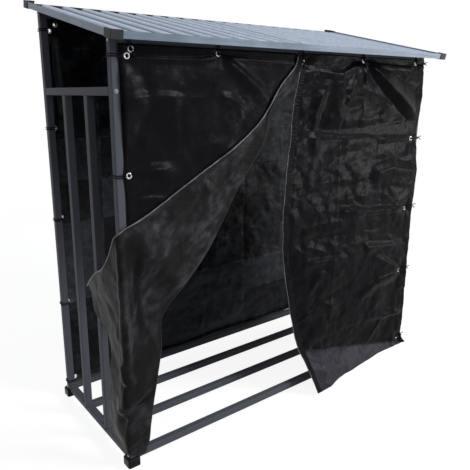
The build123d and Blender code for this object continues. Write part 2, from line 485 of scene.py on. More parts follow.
@dataclass(frozen=True)
class MouldedPlastic(Finish):
    """Injection-moulded plastic with a fine grain and rubbed patches."""

    colour: Colour = (0.040, 0.042, 0.047)
    rubbed: Colour = (0.075, 0.078, 0.084)
    roughness: float = 0.5
    grain_per_metre: float = 1400.0
    grain_depth: float = 0.00012
    specular: float = 0.18

    def build(self, graph: MaterialGraph) -> bpy.types.Material:
        """Make the material's nodes."""
        place = graph.place()
        cloud = graph.noise(place, 30.0, 4.0, 0.6)
        grain = graph.noise(place, self.grain_per_metre, 2.0, 0.5)
        rub = cloud.between(0.48, 0.74)
        colour = graph.blend(rub * 0.6, self.colour, self.rubbed)
        roughness = self.roughness + rub * 0.12 + (grain - 0.5) * 0.1
        scratch = graph.noise(graph.place((600.0, 60.0, 60.0)), 1.0, 2.0, 0.5).between(0.62, 0.68)
        normal = graph.bump(grain, self.grain_depth, graph.bump(scratch, -0.00008))
        return graph.finish(
            Base_Color=colour, Roughness=roughness, Normal=normal, Specular_IOR_Level=self.specular
        )


@dataclass(frozen=True)
class Tarpaulin(Finish):
    """Glossy coated woven cloth with dust, soft crumples and the creases left by packing.

    cell and corner place the packing creases; the panels between them can be lightened at random, a painted
    sheen;
    and hem is the height and slope of a line below which the cloth is lightened to a bluish grey, a painted
    sheen.
    """

    colour: Colour = (0.0028, 0.0028, 0.0035)
    dust: Colour = (0.0085, 0.0085, 0.0105)
    roughness: float = 0.27
    tape: float = 0.0026
    specular: float = 0.030
    tint: Colour = (0.93, 0.93, 1.0)
    crease: Colour = (0.016, 0.016, 0.019)
    crease_width: Spot = (0.0006, 0.0034)
    cell: Spot = (0.250, 0.165)
    corner: Spot = (-0.040, 1.203)
    panels: float = 0.0
    scuffed: Colour = (0.036, 0.036, 0.046)
    hem: Spot | None = None
    hem_edge: float = 0.022
    crumple: float = 0.0015

    def build(self, graph: MaterialGraph) -> bpy.types.Material:
        """Make the material's nodes."""
        flat = graph.cloth_place()
        weave = woven(graph, self.tape)
        cloud = graph.noise(flat, 7.0, 5.0, 0.62)
        soft = graph.noise(flat, 30.0, 4.0, 0.6)
        ridge = graph.math("ABSOLUTE", graph.noise(flat, 24.0, 3.0, 0.5) - 0.5)
        dusty = cloud.between(0.40, 0.72) * 0.7 * soft.between(0.25, 0.75)
        creased, panel = self.packing(graph)
        # Panels lightened at random, added to the dust: a painted sheen.
        dusty = dusty + panel.between(0.35, 0.95) * self.panels * (0.35 + soft.between(0.2, 0.8) * 0.65)
        colour = graph.blend(dusty.at_most(1.0), self.colour, self.dust)
        patchy = cloud.between(0.46, 0.68) * soft.between(0.40, 0.66)
        colour = graph.blend(creased * patchy, colour, self.crease)
        # Below the hem's line the cloth is lightened to a bluish grey: a painted sheen.
        if self.hem:
            sheen_share = self.below_hem(graph) * (0.45 + soft * 0.75).at_most(1.0)
            colour = graph.blend(sheen_share, colour, self.scuffed)
        roughness = self.roughness + (soft - 0.5) * 0.20 + dusty * 0.10
        normal = graph.bump(ridge * 1.2 + soft * 0.5, self.crumple, graph.bump(weave, 0.00003))
        return graph.finish(
            Base_Color=colour, Roughness=roughness, Normal=normal, Specular_IOR_Level=self.specular,
            Specular_Tint=self.tint,
        )

    def below_hem(self, graph: MaterialGraph) -> Value:
        """How far a place is below the hem's line, from 0 to 1."""
        level, slope = self.hem
        hung = graph.split(graph.mapped(HANG_MAP))
        return (hung * slope + level - hung.of("Y")).between(0.0, self.hem_edge)

    def packing(self, graph: MaterialGraph) -> tuple[Value, Value]:
        """Pale lines where the sheet was folded for packing, and a number for each panel between them."""
        shifted = graph.vector("SUBTRACT", graph.mapped(HANG_MAP), (*self.corner, 0.0))
        cells = graph.vector("DIVIDE", shifted, (*self.cell, 1.0))
        parts, lines = graph.split(cells), []
        for axis, size in zip("XY", self.cell):
            count = parts.of(axis)
            away = graph.math("ABSOLUTE", count - graph.math("ROUND", count)) * size
            lines.append(1.0 - away.between(*self.crease_width))
        panel = graph.node("ShaderNodeTexWhiteNoise", None, {"Vector": graph.vector("FLOOR", cells)}, "Value")
        return lines[0].at_least(lines[1]), panel


def woven(graph: MaterialGraph, tape: float) -> Value:
    """Relief of flat tapes woven over and under each other.

    Args:
        graph: The material's graph.
        tape: Width of a tape, in metres.

    Returns:
        The relief, from 0 to 1.
    """
    values = {"Vector": graph.cloth_place(), "Scale": math.tau / (WAVE_TURNS * 2.0 * tape)}
    warp, weft = (graph.node("ShaderNodeTexWave", {"bands_direction": way}, values) for way in "XY")
    return warp * weft + (1.0 - warp) * (1.0 - weft)


@dataclass(frozen=True)
class Webbing(Finish):
    """Woven binding tape along a free edge, puckered by its stitches."""

    colour: Colour = (0.0022, 0.0022, 0.0028)
    worn: Colour = (0.0085, 0.0085, 0.0105)
    groove: Colour = (0.004, 0.004, 0.005)
    rib: float = 0.0016
    specular: float = 0.030

    def build(self, graph: MaterialGraph) -> bpy.types.Material:
        """Make the material's nodes."""
        flat = graph.cloth_place()
        values = {"Vector": flat, "Scale": 1.0 / (WAVE_TURNS * self.rib)}
        ribs = graph.node("ShaderNodeTexWave", {"bands_direction": "Y"}, values)
        pucker = graph.noise(graph.cloth_place((12.0, 150.0, 1.0)), 1.0, 3.0, 0.6)
        cloud = graph.noise(flat, 22.0, 4.0, 0.6)
        colour = graph.blend(cloud.between(0.35, 0.7), self.colour, self.worn)
        colour = graph.blend((1.0 - ribs) * 0.35, colour, self.groove)
        normal = graph.bump(pucker, 0.0040, graph.bump(ribs, 0.0003))
        return graph.finish(
            Base_Color=colour, Roughness=0.30 + cloud * 0.12, Normal=normal,
            Specular_IOR_Level=self.specular,
        )


@dataclass(frozen=True)
class PlatedMetal(Finish):
    """Bright plated metal with handling marks and dull spots."""

    colour: Colour = (0.46, 0.47, 0.48)
    dull: Colour = (0.22, 0.22, 0.22)
    roughness: float = 0.22
    spotted: Colour = (0.16, 0.14, 0.12)

    def build(self, graph: MaterialGraph) -> bpy.types.Material:
        """Make the material's nodes."""
        place = graph.place()
        cloud = graph.noise(place, 260.0, 3.0, 0.6)
        spots = graph.noise(place, 900.0, 2.0, 0.5).between(0.60, 0.74)
        colour = graph.blend(cloud.between(0.4, 0.75), self.colour, self.dull)
        colour = graph.blend(spots * 0.5, colour, self.spotted)
        roughness = self.roughness + cloud * 0.2
        return graph.finish(
            Base_Color=colour, Metallic=1.0, Roughness=roughness, Normal=graph.bump(cloud, 0.0001)
        )


@dataclass(frozen=True)
class BraidedCord(Finish):
    """Braided cord: slanting strands, a little fluff and wear on its crowns."""

    colour: Colour = (0.004, 0.004, 0.005)
    worn: Colour = (0.020, 0.020, 0.022)
    specular: float = 0.10
    strands: float = 110.0

    def build(self, graph: MaterialGraph) -> bpy.types.Material:
        """Make the material's nodes."""
        place = graph.place()
        values = {"Vector": graph.mapped(CORD_MAP), "Scale": self.strands}
        strands = graph.node("ShaderNodeTexWave", {"bands_direction": "DIAGONAL"}, values)
        cloud = graph.noise(place, 320.0, 3.0, 0.6)
        colour = graph.blend(strands * cloud.between(0.35, 0.7) * 0.8, self.colour, self.worn)
        normal = graph.bump(strands, 0.0004, graph.bump(cloud, 0.0003))
        return graph.finish(
            Base_Color=colour, Roughness=0.62 + cloud * 0.2, Normal=normal,
            Specular_IOR_Level=self.specular,
        )


@dataclass(frozen=True)
class StudioFloor(Finish):
    """Plain pale floor that looks white, keeps the object's shadow and melts into the sky far off."""

    colour: Colour = (0.24, 0.24, 0.24)
    lift: float = 0.89
    near: float = 2.0
    far: float = 5.0

    def build(self, graph: MaterialGraph) -> bpy.types.Material:
        """Make the material's nodes."""
        seen = seen_rays(graph)
        away = graph.vector("LENGTH", graph.place(), output="Value").between(self.near, self.far)
        cloud = graph.noise(graph.place(), 0.8, 3.0, 0.5)
        pale = graph.blend(cloud, self.colour, tuple(0.98 * c for c in self.colour))
        colour = graph.blend(away * seen, pale, BLACK)
        glow = graph.blend((away * (1.0 - self.lift) + self.lift) * seen, BLACK, WHITE)
        return graph.finish(
            Base_Color=colour, Roughness=0.9, Specular_IOR_Level=0.0, Emission_Color=glow,
            Emission_Strength=1.0,
        )


def seen_rays(graph: Graph) -> Value:
    """1 for rays that show the background: from the camera, off gloss or through glass."""
    return graph.node("ShaderNodeLightPath").or_of("Is Glossy Ray", "Is Transmission Ray")


FRAME_COAT = PowderCoat("frame_powder_coat")
ROOF_SHEET = Galvanised("bright_galvanising")
TRIM = TrimPaint("trim_paint")
CORNER_PLASTIC = MouldedPlastic("moulded_corner", (0.036, 0.037, 0.041), (0.060, 0.062, 0.067))
FOOT_PLASTIC = MouldedPlastic(
    "moulded_foot", (0.010, 0.010, 0.012), (0.030, 0.031, 0.034), roughness=0.24, grain_per_metre=900.0,
    grain_depth=0.00006, specular=0.06,
)
# The right curtain's cloth, lightened to a bluish grey below the line of its kicked lower edge: a painted
# sheen.
CLOTH = Tarpaulin("coated_cloth", hem=(0.199, -0.2345))
# A lighter copy of the cloth for the left curtain's back layer: painted light, lifting it to a level that its
# lamps don't give.
LIT_CLOTH = Tarpaulin("cloth_painted_lit", (0.0070, 0.0070, 0.0080), (0.0155, 0.0155, 0.0180))
# The folded-over flap's reverse side: a lighter, warmer grey, and its large pale patches a painted sheen.
REVERSE_AND_SHEEN = Tarpaulin(
    "cloth_reverse_and_painted_sheen", (0.0125, 0.0120, 0.0122), (0.108, 0.106, 0.120), roughness=0.33, specular=0.05
)
# The back tarp's pale dust, creases and lightened panels: partly dust and crease whitening, partly a painted
# sheen on its crumples.
BACK_CLOTH = Tarpaulin(
    "back_cloth", (0.0022, 0.0024, 0.0032), (0.066, 0.073, 0.083), roughness=0.34, specular=0.10,
    crease=(0.15, 0.16, 0.18), cell=(0.250, 0.164), corner=(1.210, 0.722), panels=0.8,
)
BINDING = Webbing("edge_binding")
# A pale copy of the binding for the edge rolls: a painted highlight line along the curtains' free edges.
PIPING_HIGHLIGHT = Webbing("edge_piping_painted_highlight", (0.10, 0.10, 0.115), (0.24, 0.24, 0.26), specular=0.5)
# Near-black copy of the trim paint on the back trims' top, inner face and flange: painted shade.
TRIM_SHADE = TrimPaint("trim_painted_shade", (0.016, 0.018, 0.021), (0.034, 0.037, 0.042))
NICKEL = PlatedMetal("nickel_plate")
ZINC = PlatedMetal("zinc_plate", (0.30, 0.31, 0.33), (0.12, 0.125, 0.13), roughness=0.30)
CORD = BraidedCord("tie_cord")
THREAD = BraidedCord("stitch_thread", (0.012, 0.012, 0.014), (0.075, 0.075, 0.085), specular=0.2)


# Cloth

NOISE_CELLS = 64
PACKED_CELLS = 24


@dataclass(frozen=True)
class Fold:
    """A fold along a line on the cloth, in millimetres.

    The cloth is out by height at the line and comes back over a width on its left and right. fan is how
    much narrower the fold starts than it ends, and crest how blunt it is.
    """

    path: tuple[Spot, ...]
    height: float
    left: float
    right: float
    fan: float = 0.0
    crest: float = 4.0
    overrun: float = 0.2
    steepness: float = 1.3

    def relief(self, s: Array, z: Array) -> Array:
        """How far the fold stands out.

        Args:
            s: Places across the cloth, in millimetres.
            z: Their heights.

        Returns:
            The relief in millimetres.
        """
        nearest, side, along = np.full(s.shape, np.inf), np.zeros(s.shape), np.zeros(s.shape)
        starts = np.array(self.path[:-1], float)
        runs = np.diff(np.array(self.path, float), axis=0)
        lengths = np.hypot(runs[:, 0], runs[:, 1])
        passed = np.concatenate([[0.0], np.cumsum(lengths)])
        for (x0, z0), (dx, dz), length, before in zip(starts, runs, lengths, passed):
            part = ((s - x0) * dx + (z - z0) * dz) / length**2
            low = -self.overrun if before == 0.0 else 0.0
            high = 1.0 + self.overrun if before + length == passed[-1] else 1.0
            held = np.clip(part, low, high)
            off = np.hypot(s - x0 - held * dx, z - z0 - held * dz)
            closer = off < nearest
            nearest = np.where(closer, off, nearest)
            side = np.where(closer, (s - x0) * dz - (z - z0) * dx, side)
            along = np.where(closer, (before + held * length) / passed[-1], along)
        spread = 1.0 - self.fan * (1.0 - np.clip(along, 0.0, 1.0))
        width = np.where(side > 0, self.right, self.left) * spread
        reach = np.clip(1.0 - (np.sqrt(nearest**2 + self.crest**2) - self.crest) / width, 0.0, 1.0)
        fade = smooth_step(along / 0.2 + 0.15) * smooth_step((1.0 - along) / 0.35 + 0.1)
        return self.height * reach**self.steepness * fade


class Noise:
    """Smooth noise on a plane, the same for the same seed."""

    def __init__(self, seed: int) -> None:
        """Draw the slopes at the corners of the cells.

        Args:
            seed: The seed.
        """
        angle = np.random.default_rng(seed).uniform(0.0, math.tau, (NOISE_CELLS, NOISE_CELLS))
        self.slopes = np.stack([np.cos(angle), np.sin(angle)], axis=-1)

    def at(self, x: Array, y: Array) -> Array:
        """Noise from about -1 to 1, with cells of one unit."""
        cell_x, cell_y = np.floor(x).astype(int), np.floor(y).astype(int)
        part_x, part_y = x - cell_x, y - cell_y
        ease_x, ease_y = (t**3 * (t * (6.0 * t - 15.0) + 10.0) for t in (part_x, part_y))
        total = np.zeros_like(part_x)
        for i in (0, 1):
            for j in (0, 1):
                slope = self.slopes[(cell_x + i) % NOISE_CELLS, (cell_y + j) % NOISE_CELLS]
                weight = (ease_x if i else 1.0 - ease_x) * (ease_y if j else 1.0 - ease_y)
                total += weight * (slope[..., 0] * (part_x - i) + slope[..., 1] * (part_y - j))
        return 1.5 * total


def creased_cells(seed: int, x: Array, y: Array) -> Array:
    """Blunt cones round scattered points, which meet in sharp creases.

    Args:
        seed: The seed of the points.
        x: Places, with about one cone to a unit square.
        y: The same, in the other direction.

    Returns:
        The relief, about 0 on average.
    """
    rng = np.random.default_rng(seed)
    jitter = rng.uniform(0.0, 1.0, (NOISE_CELLS, NOISE_CELLS, 2))
    height = rng.uniform(0.0, 0.5, (NOISE_CELLS, NOISE_CELLS))
    cell_x, cell_y = np.floor(x).astype(int), np.floor(y).astype(int)
    lowest = np.full(x.shape, np.inf)
    for i in (-1, 0, 1):
        for j in (-1, 0, 1):
            cell = (cell_x + i) % NOISE_CELLS, (cell_y + j) % NOISE_CELLS
            spot = jitter[cell]
            away = np.hypot(cell_x + i + spot[..., 0] - x, cell_y + j + spot[..., 1] - y)
            lowest = np.minimum(lowest, away + height[cell])
    return lowest - 0.6


def smooth_step(t: Array | float) -> Array:
    """Smooth rise from 0 at t = 0 to 1 at t = 1."""
    t = np.clip(t, 0.0, 1.0)
    return t * t * (3.0 - 2.0 * t)


def ramp_line(places: Array, *knots: Spot) -> Array:
    """Values at places, straight between knots of place and value."""
    return np.interp(places, [k[0] for k in knots], [k[1] for k in knots])


def at_level(level: Array, *knots: Spot) -> Array:
    """Places across at heights, along a line of knots from its lowest up."""
    return np.interp(level, [k[1] for k in knots], [k[0] for k in knots])


def passed_along(line: Array) -> Array:
    """Length of a line up to each of its points."""
    return np.concatenate([[0.0], np.cumsum(np.linalg.norm(np.diff(line, axis=0), axis=1))])


def resample(at: Array, passed: Array, rows: Array) -> Array:
    """Rows at given lengths along a line, where passed is its length up to each of its points."""
    return np.stack([np.interp(at, passed, column) for column in rows.T], axis=1)


def grid_of(first: Array, second: Array) -> Array:
    """Pairs of numbers on the grid of a column and a row, or of two grids."""
    return np.stack(np.broadcast_arrays(first, second), axis=-1)


def smooth_line(points: Sequence[Spot], count: int, power: float = 1.0) -> Array:
    """Places along a smooth line through points, evenly spaced.

    Args:
        points: Points that the line passes through.
        count: How many places.
        power: Above 1, the places are closer together at the start.

    Returns:
        The places, one row each.
    """
    p = np.array(points, float)
    p = np.vstack([2 * p[0] - p[1], p, 2 * p[-1] - p[-2]])
    t = np.linspace(0.0, 1.0, 12, endpoint=False)[:, None]
    runs = [
        0.5 * (2 * b + (c - a) * t + (2 * a - 5 * b + 4 * c - d) * t**2 + (3 * b - a - 3 * c + d) * t**3)
        for a, b, c, d in zip(p, p[1:], p[2:], p[3:])
    ]
    line = np.vstack([*runs, p[-2:-1]])
    passed = passed_along(line)
    return resample(passed[-1] * np.linspace(0.0, 1.0, count) ** power, passed, line)


def patch(
    left: Array, right: Array, top: Array, low: Array, across: Array, low_power: float = 1.0
) -> Array:
    """Grid between four border lines.

    Args:
        left: Left border, from its top down.
        right: Right border, from its top down.
        top: Top border, from left to right.
        low: Lower border, from left to right.
        across: Where the columns are, from 0 to 1.
        low_power: Above 1, the lower border's shape dies out sooner upwards.

    Returns:
        The grid's places, by row and column.
    """
    w = across[None, :, None]
    v = np.linspace(0.0, 1.0, len(left))[:, None, None]
    straight_low = low[:1] * (1 - across[:, None]) + low[-1:] * across[:, None]
    straight_top = top[:1] * (1 - across[:, None]) + top[-1:] * across[:, None]
    grid = left[:, None] * (1 - w) + right[:, None] * w
    return grid + (top - straight_top)[None] * (1 - v) ** 2 + (low - straight_low)[None] * v**low_power


@dataclass(frozen=True)
class Relief:
    """How far a cloth stands out of its plane: packing creases, folds, crumples and slow waves.

    The waves and cones have their height as a share of crumple and their size in millimetres.
    """

    seed: int
    folds: tuple[Fold, ...] = ()
    cell: Spot = (250.0, 165.0)
    corner: Spot = (-40.0, 1203.0)
    cell_height: float = 7.0
    crumple: float = 3.0
    creases: int = 40
    crease_ridge: float = 0.9
    ridge_width: float = 3.0
    slow_wave: tuple[float, float, float] = (1.5, 230.0, 190.0)
    broad_cones: tuple[float, float, float] = (1.9, 150.0, 95.0)
    fine_cones: tuple[float, float, float] = (0.75, 52.0, 36.0)

    def at(self, s: Array, z: Array) -> Array:
        """The relief.

        Args:
            s: Places across the cloth, in millimetres.
            z: Their heights.

        Returns:
            The relief in millimetres.
        """
        total = self.packing(s, z) + sum(fold.relief(s, z) for fold in self.folds)
        rng = np.random.default_rng(self.seed)
        lo, hi = (float(s.min()), float(z.min())), (float(s.max()), float(z.max()))
        for _ in range(self.creases):
            x0, z0 = rng.uniform(lo[0], hi[0]), rng.uniform(lo[1], hi[1])
            angle = rng.normal(0.0, 0.4) if rng.random() < 0.6 else rng.uniform(0.0, math.pi)
            length, width = rng.uniform(60.0, 200.0), rng.uniform(10.0, 34.0)
            bend = angle + rng.normal(0.0, 0.35)
            middle = (x0 + 0.5 * length * math.cos(angle), z0 + 0.5 * length * math.sin(angle))
            end = (middle[0] + 0.5 * length * math.cos(bend), middle[1] + 0.5 * length * math.sin(bend))
            height = rng.uniform(0.4, 1.0) * self.crumple * rng.choice([-0.6, 1.0])
            fold = Fold(((x0, z0), middle, end), height, width, width * rng.uniform(0.5, 1.6), crest=2.5)
            total += fold.relief(s, z)
        slow = Noise(self.seed + 1)
        warp = 0.35 * slow.at(s / 90.0, z / 90.0)
        share, wide, high = self.slow_wave
        total += self.crumple * share * slow.at(s / wide, z / high)
        share, wide, high = self.broad_cones
        total -= self.crumple * share * creased_cells(self.seed + 2, s / wide + warp, z / high + warp)
        share, wide, high = self.fine_cones
        total += self.crumple * share * creased_cells(self.seed + 4, s / wide + warp, z / high - warp)
        return total

    def packing(self, s: Array, z: Array) -> Array:
        """Relief of the flat cells between the creases that packing left."""
        heights = np.random.default_rng(self.seed + 3).uniform(-1.0, 1.0, (PACKED_CELLS, PACKED_CELLS))
        middle, last = PACKED_CELLS / 2, PACKED_CELLS - 2
        x, y = (s - self.corner[0]) / self.cell[0] + middle, (z - self.corner[1]) / self.cell[1] + middle
        column, row = (np.clip(np.floor(place).astype(int), 0, last) for place in (x, y))
        fx, fy = x - column, y - row
        low = heights[column, row] * (1 - fx) + heights[column + 1, row] * fx
        high = heights[column, row + 1] * (1 - fx) + heights[column + 1, row + 1] * fx
        ridge = sum(
            np.exp(-np.abs(part - np.round(part)) * size / self.ridge_width)
            for part, size in ((fx, self.cell[0]), (fy, self.cell[1]))
        )
        return self.cell_height * (low * (1 - fy) + high * fy) + self.crease_ridge * ridge


@dataclass
class StoreFrame:
    """Where the frame's pieces are, in millimetres from the middle of the frame, as the cloth is laid out."""

    def __post_init__(self) -> None:
        """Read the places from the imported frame."""
        front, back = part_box("front_post_left"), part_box("back_post_right")
        self.middle_y = (front[0].y + back[1].y) / 2
        self.front = (front[0].y - self.middle_y) / MM
        self.back = -self.front
        self.left = front[0].x / MM
        self.right = -self.left
        self.tube = (front[1].x - front[0].x) / MM
        self.front_rail_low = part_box("top_rail_front_left")[0].z / MM
        self.back_rail_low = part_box("top_rail_back_left")[0].z / MM

    def place(self, points: Array) -> Array:
        """Millimetres from the middle of the frame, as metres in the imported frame."""
        return np.asarray(points) * MM + (0.0, self.middle_y, 0.0)


STORE = StoreFrame()


def mesh_object(name: str, points: Array, faces: list, finishes: Sequence[Finish]) -> bpy.types.Object:
    """Make an object from points and faces.

    Args:
        name: The object's name.
        points: Its points, in metres.
        faces: Lists of point numbers.
        finishes: Its finishes.

    Returns:
        The object, with smooth faces.
    """
    mesh = bpy.data.meshes.new(name)
    mesh.from_pydata(np.asarray(points).reshape(-1, 3).tolist(), [], faces)
    mesh.shade_smooth()
    for finish in finishes:
        mesh.materials.append(finish.material())
    return linked(name, mesh)


@dataclass(frozen=True)
class Tie:
    """An eyelet of a sheet, and what the cord through it is lashed round."""

    spot: Spot
    holders: tuple[Holder, ...]
    knot_at_corner: bool = False


@dataclass
class Cloth:
    """A tarpaulin sheet on a grid of rows, from its top hem down, and columns, in millimetres.

    hole is how far the grid is drawn back round an eyelet, and pin how far out of the frame an eyelet is.
    """

    name: str
    node: str
    relief: Relief
    rows: int = 288
    columns: int = 164
    width: float = 722.0
    height: float = 1337.0
    thickness: float = 0.7
    outward: int = -1
    held: str = "hung"
    rests_on: tuple[str, ...] = ()
    finishes: tuple[Finish, ...] = (CLOTH,)
    ties: tuple[Tie, ...] = ()
    hole: float = 6.0
    pin: float = 3.2
    pin_reach: float = 30.0
    wrinkle: float = 2.6
    wrinkle_reach: float = 42.0
    off_sheet: float = 9.0
    far: float = 99.0

    def lay(self) -> tuple[Array, Array, Array]:
        """Lay the grid.

        Returns:
            Its points, where they are on the plane wrapped round the frame, and where on the flat cloth.
        """
        raise NotImplementedError

    def build(self) -> bpy.types.Object:
        """Make the sheet, with its thickness.

        Returns:
            The sheet's object.
        """
        self.points, self.spots, self.flat = self.lay()
        rows, columns = self.points.shape[:2]
        kept = np.ones((rows - 1, columns - 1), bool)
        for tie in self.ties:
            kept &= self.pierce(*self.nearest(*tie.spot), kept.shape)
        number = np.arange(rows * columns).reshape(rows, columns)
        corners = [number[:-1, :-1], number[1:, :-1], number[1:, 1:], number[:-1, 1:]]
        if self.outward > 0:
            corners.reverse()
        used, faces = np.unique(np.stack(corners, axis=-1)[kept], return_inverse=True)
        faces = faces.reshape(-1, 4)
        points = STORE.place(self.points).reshape(-1, 3)[used]
        made = mesh_object(self.name, points, faces.tolist(), self.finishes)
        for name, grid in ((CLOTH_MAP, self.flat), (HANG_MAP, self.spots)):
            places = (grid * MM).reshape(-1, 2)[used][faces.reshape(-1)]
            made.data.uv_layers.new(name=name).data.foreach_set("uv", places.astype(np.float32).ravel())
        made.data.polygons.foreach_set("material_index", self.patches()[kept].astype(np.int32))
        solid = made.modifiers.new("thickness", "SOLIDIFY")
        solid.thickness = self.thickness * MM
        solid.offset = 0.0
        settle(made, Slot.CLOTH, self.node)
        self.object = made
        return made

    def patches(self) -> Array:
        """Number of the finish of each cell of the grid."""
        return np.zeros(np.subtract(self.points.shape[:2], 1), int)

    def pierce(self, row: int, column: int, shape: tuple[int, int]) -> Array:
        """Draw the grid round a hole at one of its points.

        Args:
            row: The point's row.
            column: Its column.
            shape: How many cells the grid has.

        Returns:
            False at the cells that the hole takes away.
        """
        kept = np.ones(shape, bool)
        kept[row - 1 : row + 1, column - 1 : column + 1] = False
        centre = self.points[row, column].copy()
        for i, j in itertools.product((-1, 0, 1), repeat=2):
            if i or j:
                arm = self.points[row + i, column + j] - centre
                self.points[row + i, column + j] = centre + arm * (self.hole / np.linalg.norm(arm))
        return kept

    def nearest(self, s: float, z: float) -> tuple[int, int]:
        """Row and column of the grid's point nearest a spot, clear of the grid's borders."""
        gap = (self.spots[..., 0] - s) ** 2 + (self.spots[..., 1] - z) ** 2
        row, column = np.unravel_index(int(gap.argmin()), gap.shape)
        return min(max(row, 2), gap.shape[0] - 3), min(max(column, 2), gap.shape[1] - 3)

    def normals(self) -> Array:
        """Unit vectors out of the sheet, at each point of its grid."""
        down, across = np.gradient(self.points, axis=0), np.gradient(self.points, axis=1)
        normal = -self.outward * np.cross(down, across)
        return normal / np.maximum(np.linalg.norm(normal, axis=-1, keepdims=True), TINY)

    def distance_out(self, s: float, z: float) -> float:
        """How far the sheet is out from the frame's face at a spot, or far behind it off the sheet."""
        row, column = self.nearest(s, z)
        if np.hypot(*(self.spots[row, column] - (s, z))) > self.off_sheet:
            return -self.far
        return float(self.outward * self.points[row, column, 1] - STORE.back)

    def pinned(self, out: Array, s: Array, z: Array) -> Array:
        """Draw the sheet in to the frame at its ties, with small wrinkles that run out from them."""
        for number, tie in enumerate(self.ties):
            ds, dz = s - tie.spot[0], z - tie.spot[1]
            away = np.hypot(ds, dz)
            spokes = np.cos(6.0 * np.arctan2(dz, ds) + 1.7 * number)
            out = out + self.wrinkle * spokes * np.exp(-away / self.wrinkle_reach) * smooth_step(away / 18.0)
            near = 0.9 * np.exp(-((away / self.pin_reach) ** 2))
            out = out * (1.0 - near) + self.pin * near
        return out

    def stitch_line(
        self, rows: Array, columns: Array, pitch: float, side: float = 1.0
    ) -> tuple[Array, Array, Array]:
        """Even spots along a line of the grid.

        Args:
            rows: The rows of the line's points.
            columns: Their columns.
            pitch: The distance between the spots, in millimetres.
            side: 1 on the sheet's outward side and -1 on the other.

        Returns:
            The places in millimetres, the ways out of the sheet and the ways along the line.
        """
        rows, columns = np.broadcast_arrays(rows, columns)
        facing = side * self.normals()[rows, columns]
        line = self.points[rows, columns] + facing * (self.thickness / 2 + 0.15)
        passed = passed_along(line)
        at = np.arange(pitch, passed[-1] - pitch, pitch)
        place, ahead = (resample(at + step, passed, line) for step in (0, 1))
        return place, resample(at, passed, facing), ahead - place

    def declare(self, pieces: Sequence[bpy.types.Object]) -> None:
        """List the frame pieces that the sheet rests on; nothing more is done with them or with the pieces on
        it.
        """
        rests_on = list(self.rests_on)


@dataclass
class RightCurtain(Cloth):
    """Right-hand front curtain, tied at its top and right edges, with its lower edge kicked forward.

    The edges and the seam are places across and up. kick_start is the height, by place across, below
    which the cloth leans out by kick_slope.
    """

    free_edge: tuple[Spot, ...] = (
        (-27, 1351), (-28, 1300), (-50, 1195), (-62, 1086), (-78, 961), (-93, 871), (-97, 740),
        (-83, 640), (-48, 450), (-9, 268), (30, 150), (68, 12),
    )
    post_edge: tuple[Spot, ...] = (
        (764, 12), (752, 30), (742, 60), (746, 220), (742, 396), (746, 560), (742, 700), (745, 860),
        (734, 1017), (737, 1110), (742, 1200), (739, 1339), (744, 1351),
    )
    seam: tuple[Spot, ...] = (
        (-27, 1310), (60, 1304), (204, 1300), (260, 1322), (319, 1332), (382, 1327), (520, 1321),
        (656, 1318), (735, 1327),
    )
    kick_start: tuple[Spot, ...] = ((14, 196), (150, 184), (229, 141), (389, 98), (564, 51), (722, 30))
    kick_slope: tuple[Spot, ...] = ((68, 0.43), (722, 0.44))
    kick_rounding: float = 4.0
    stand_off: float = 10.0
    closest: float = 1.2
    top: float = 1351.0
    bottom: float = 12.0
    bound: float = 30.0

    def patches(self) -> Array:
        """Number of the finish of each cell of the grid: 1 in the binding along the free edge."""
        return (self.flat[:-1, 1:, 0] < self.bound).astype(int)

    def lay(self) -> tuple[Array, Array, Array]:
        """Lay the grid between the free edge and the hem beside the right post."""
        down = (np.linspace(0.0, 1.0, self.rows) ** 1.12)[:, None]
        across = np.linspace(0.0, 1.0, self.columns)[None, :]
        level = self.top - down * (self.top - self.bottom)
        left, right = at_level(level, *self.free_edge[::-1]), at_level(level, *self.post_edge)
        x, z = np.broadcast_arrays(left + (right - left) * across, level)
        out = self.kicked(self.stand_off + self.relief.at(x, z), x, z)
        out = self.gathered(hemmed(out, x, z, self.seam), x - left, z)
        out = np.maximum(self.pinned(out, x, z), self.closest)
        points = np.stack([x, STORE.front - out, z], axis=-1)
        return points, grid_of(x, z), grid_of(across * self.width, down * self.height)

    def kicked(self, out: Array, x: Array, z: Array) -> Array:
        """Kick the lower edge forward, a little more at its tied corner."""
        below = ramp_line(x, *self.kick_start) - z
        lean = ramp_line(x, *self.kick_slope) * 0.5
        out = out + lean * (below + np.sqrt(below**2 + self.kick_rounding**2))
        return out + 7.0 * smooth_step((66.0 - z) / 24.0) * smooth_step((x - 640.0) / 60.0)

    def gathered(self, out: Array, inward: Array, z: Array) -> Array:
        """Wave the free edge and pucker its binding, by how far inward of the edge a place is."""
        wave = 7.0 * np.sin(z / 118.0 + 0.4) * np.exp(-inward / 90.0)
        out = out + wave * smooth_step((1290.0 - z) / 200.0)
        gathers = Noise(self.relief.seed + 6).at(z / 8.5, inward / 22.0)
        pucker = 2.6 * gathers * np.exp(-(((inward - 20.0) / 16.0) ** 2))
        return out + pucker * (0.3 + 0.7 * np.sin(z / 130.0) ** 2) * smooth_step((1120.0 - z) / 120.0)


def hemmed(out: Array, x: Array, z: Array, seam: tuple[Spot, ...]) -> Array:
    """Relief of a sheet with a top hem: a raised seam, and above it a band that lies closer to the rail.

    Args:
        out: How far out the sheet is without its hem.
        x: Places across the sheet.
        z: Their heights.
        seam: The seam's line, from left to right.

    Returns:
        How far out the sheet is.
    """
    rise = z - ramp_line(x, *seam)
    above = smooth_step((rise + 2.0) / 10.0)
    lens = 3.2 * np.exp(-(((rise + 17.0) / 8.0) ** 2)) * smooth_step((x - 380.0) / 60.0)
    flattened = 9.0 + 0.4 * (out - 10.0)
    band = flattened - 3.4 * above + 0.14 * np.maximum(rise - 8.0, 0.0)
    return out + (band - out) * smooth_step((rise + 16.0) / 16.0) - lens


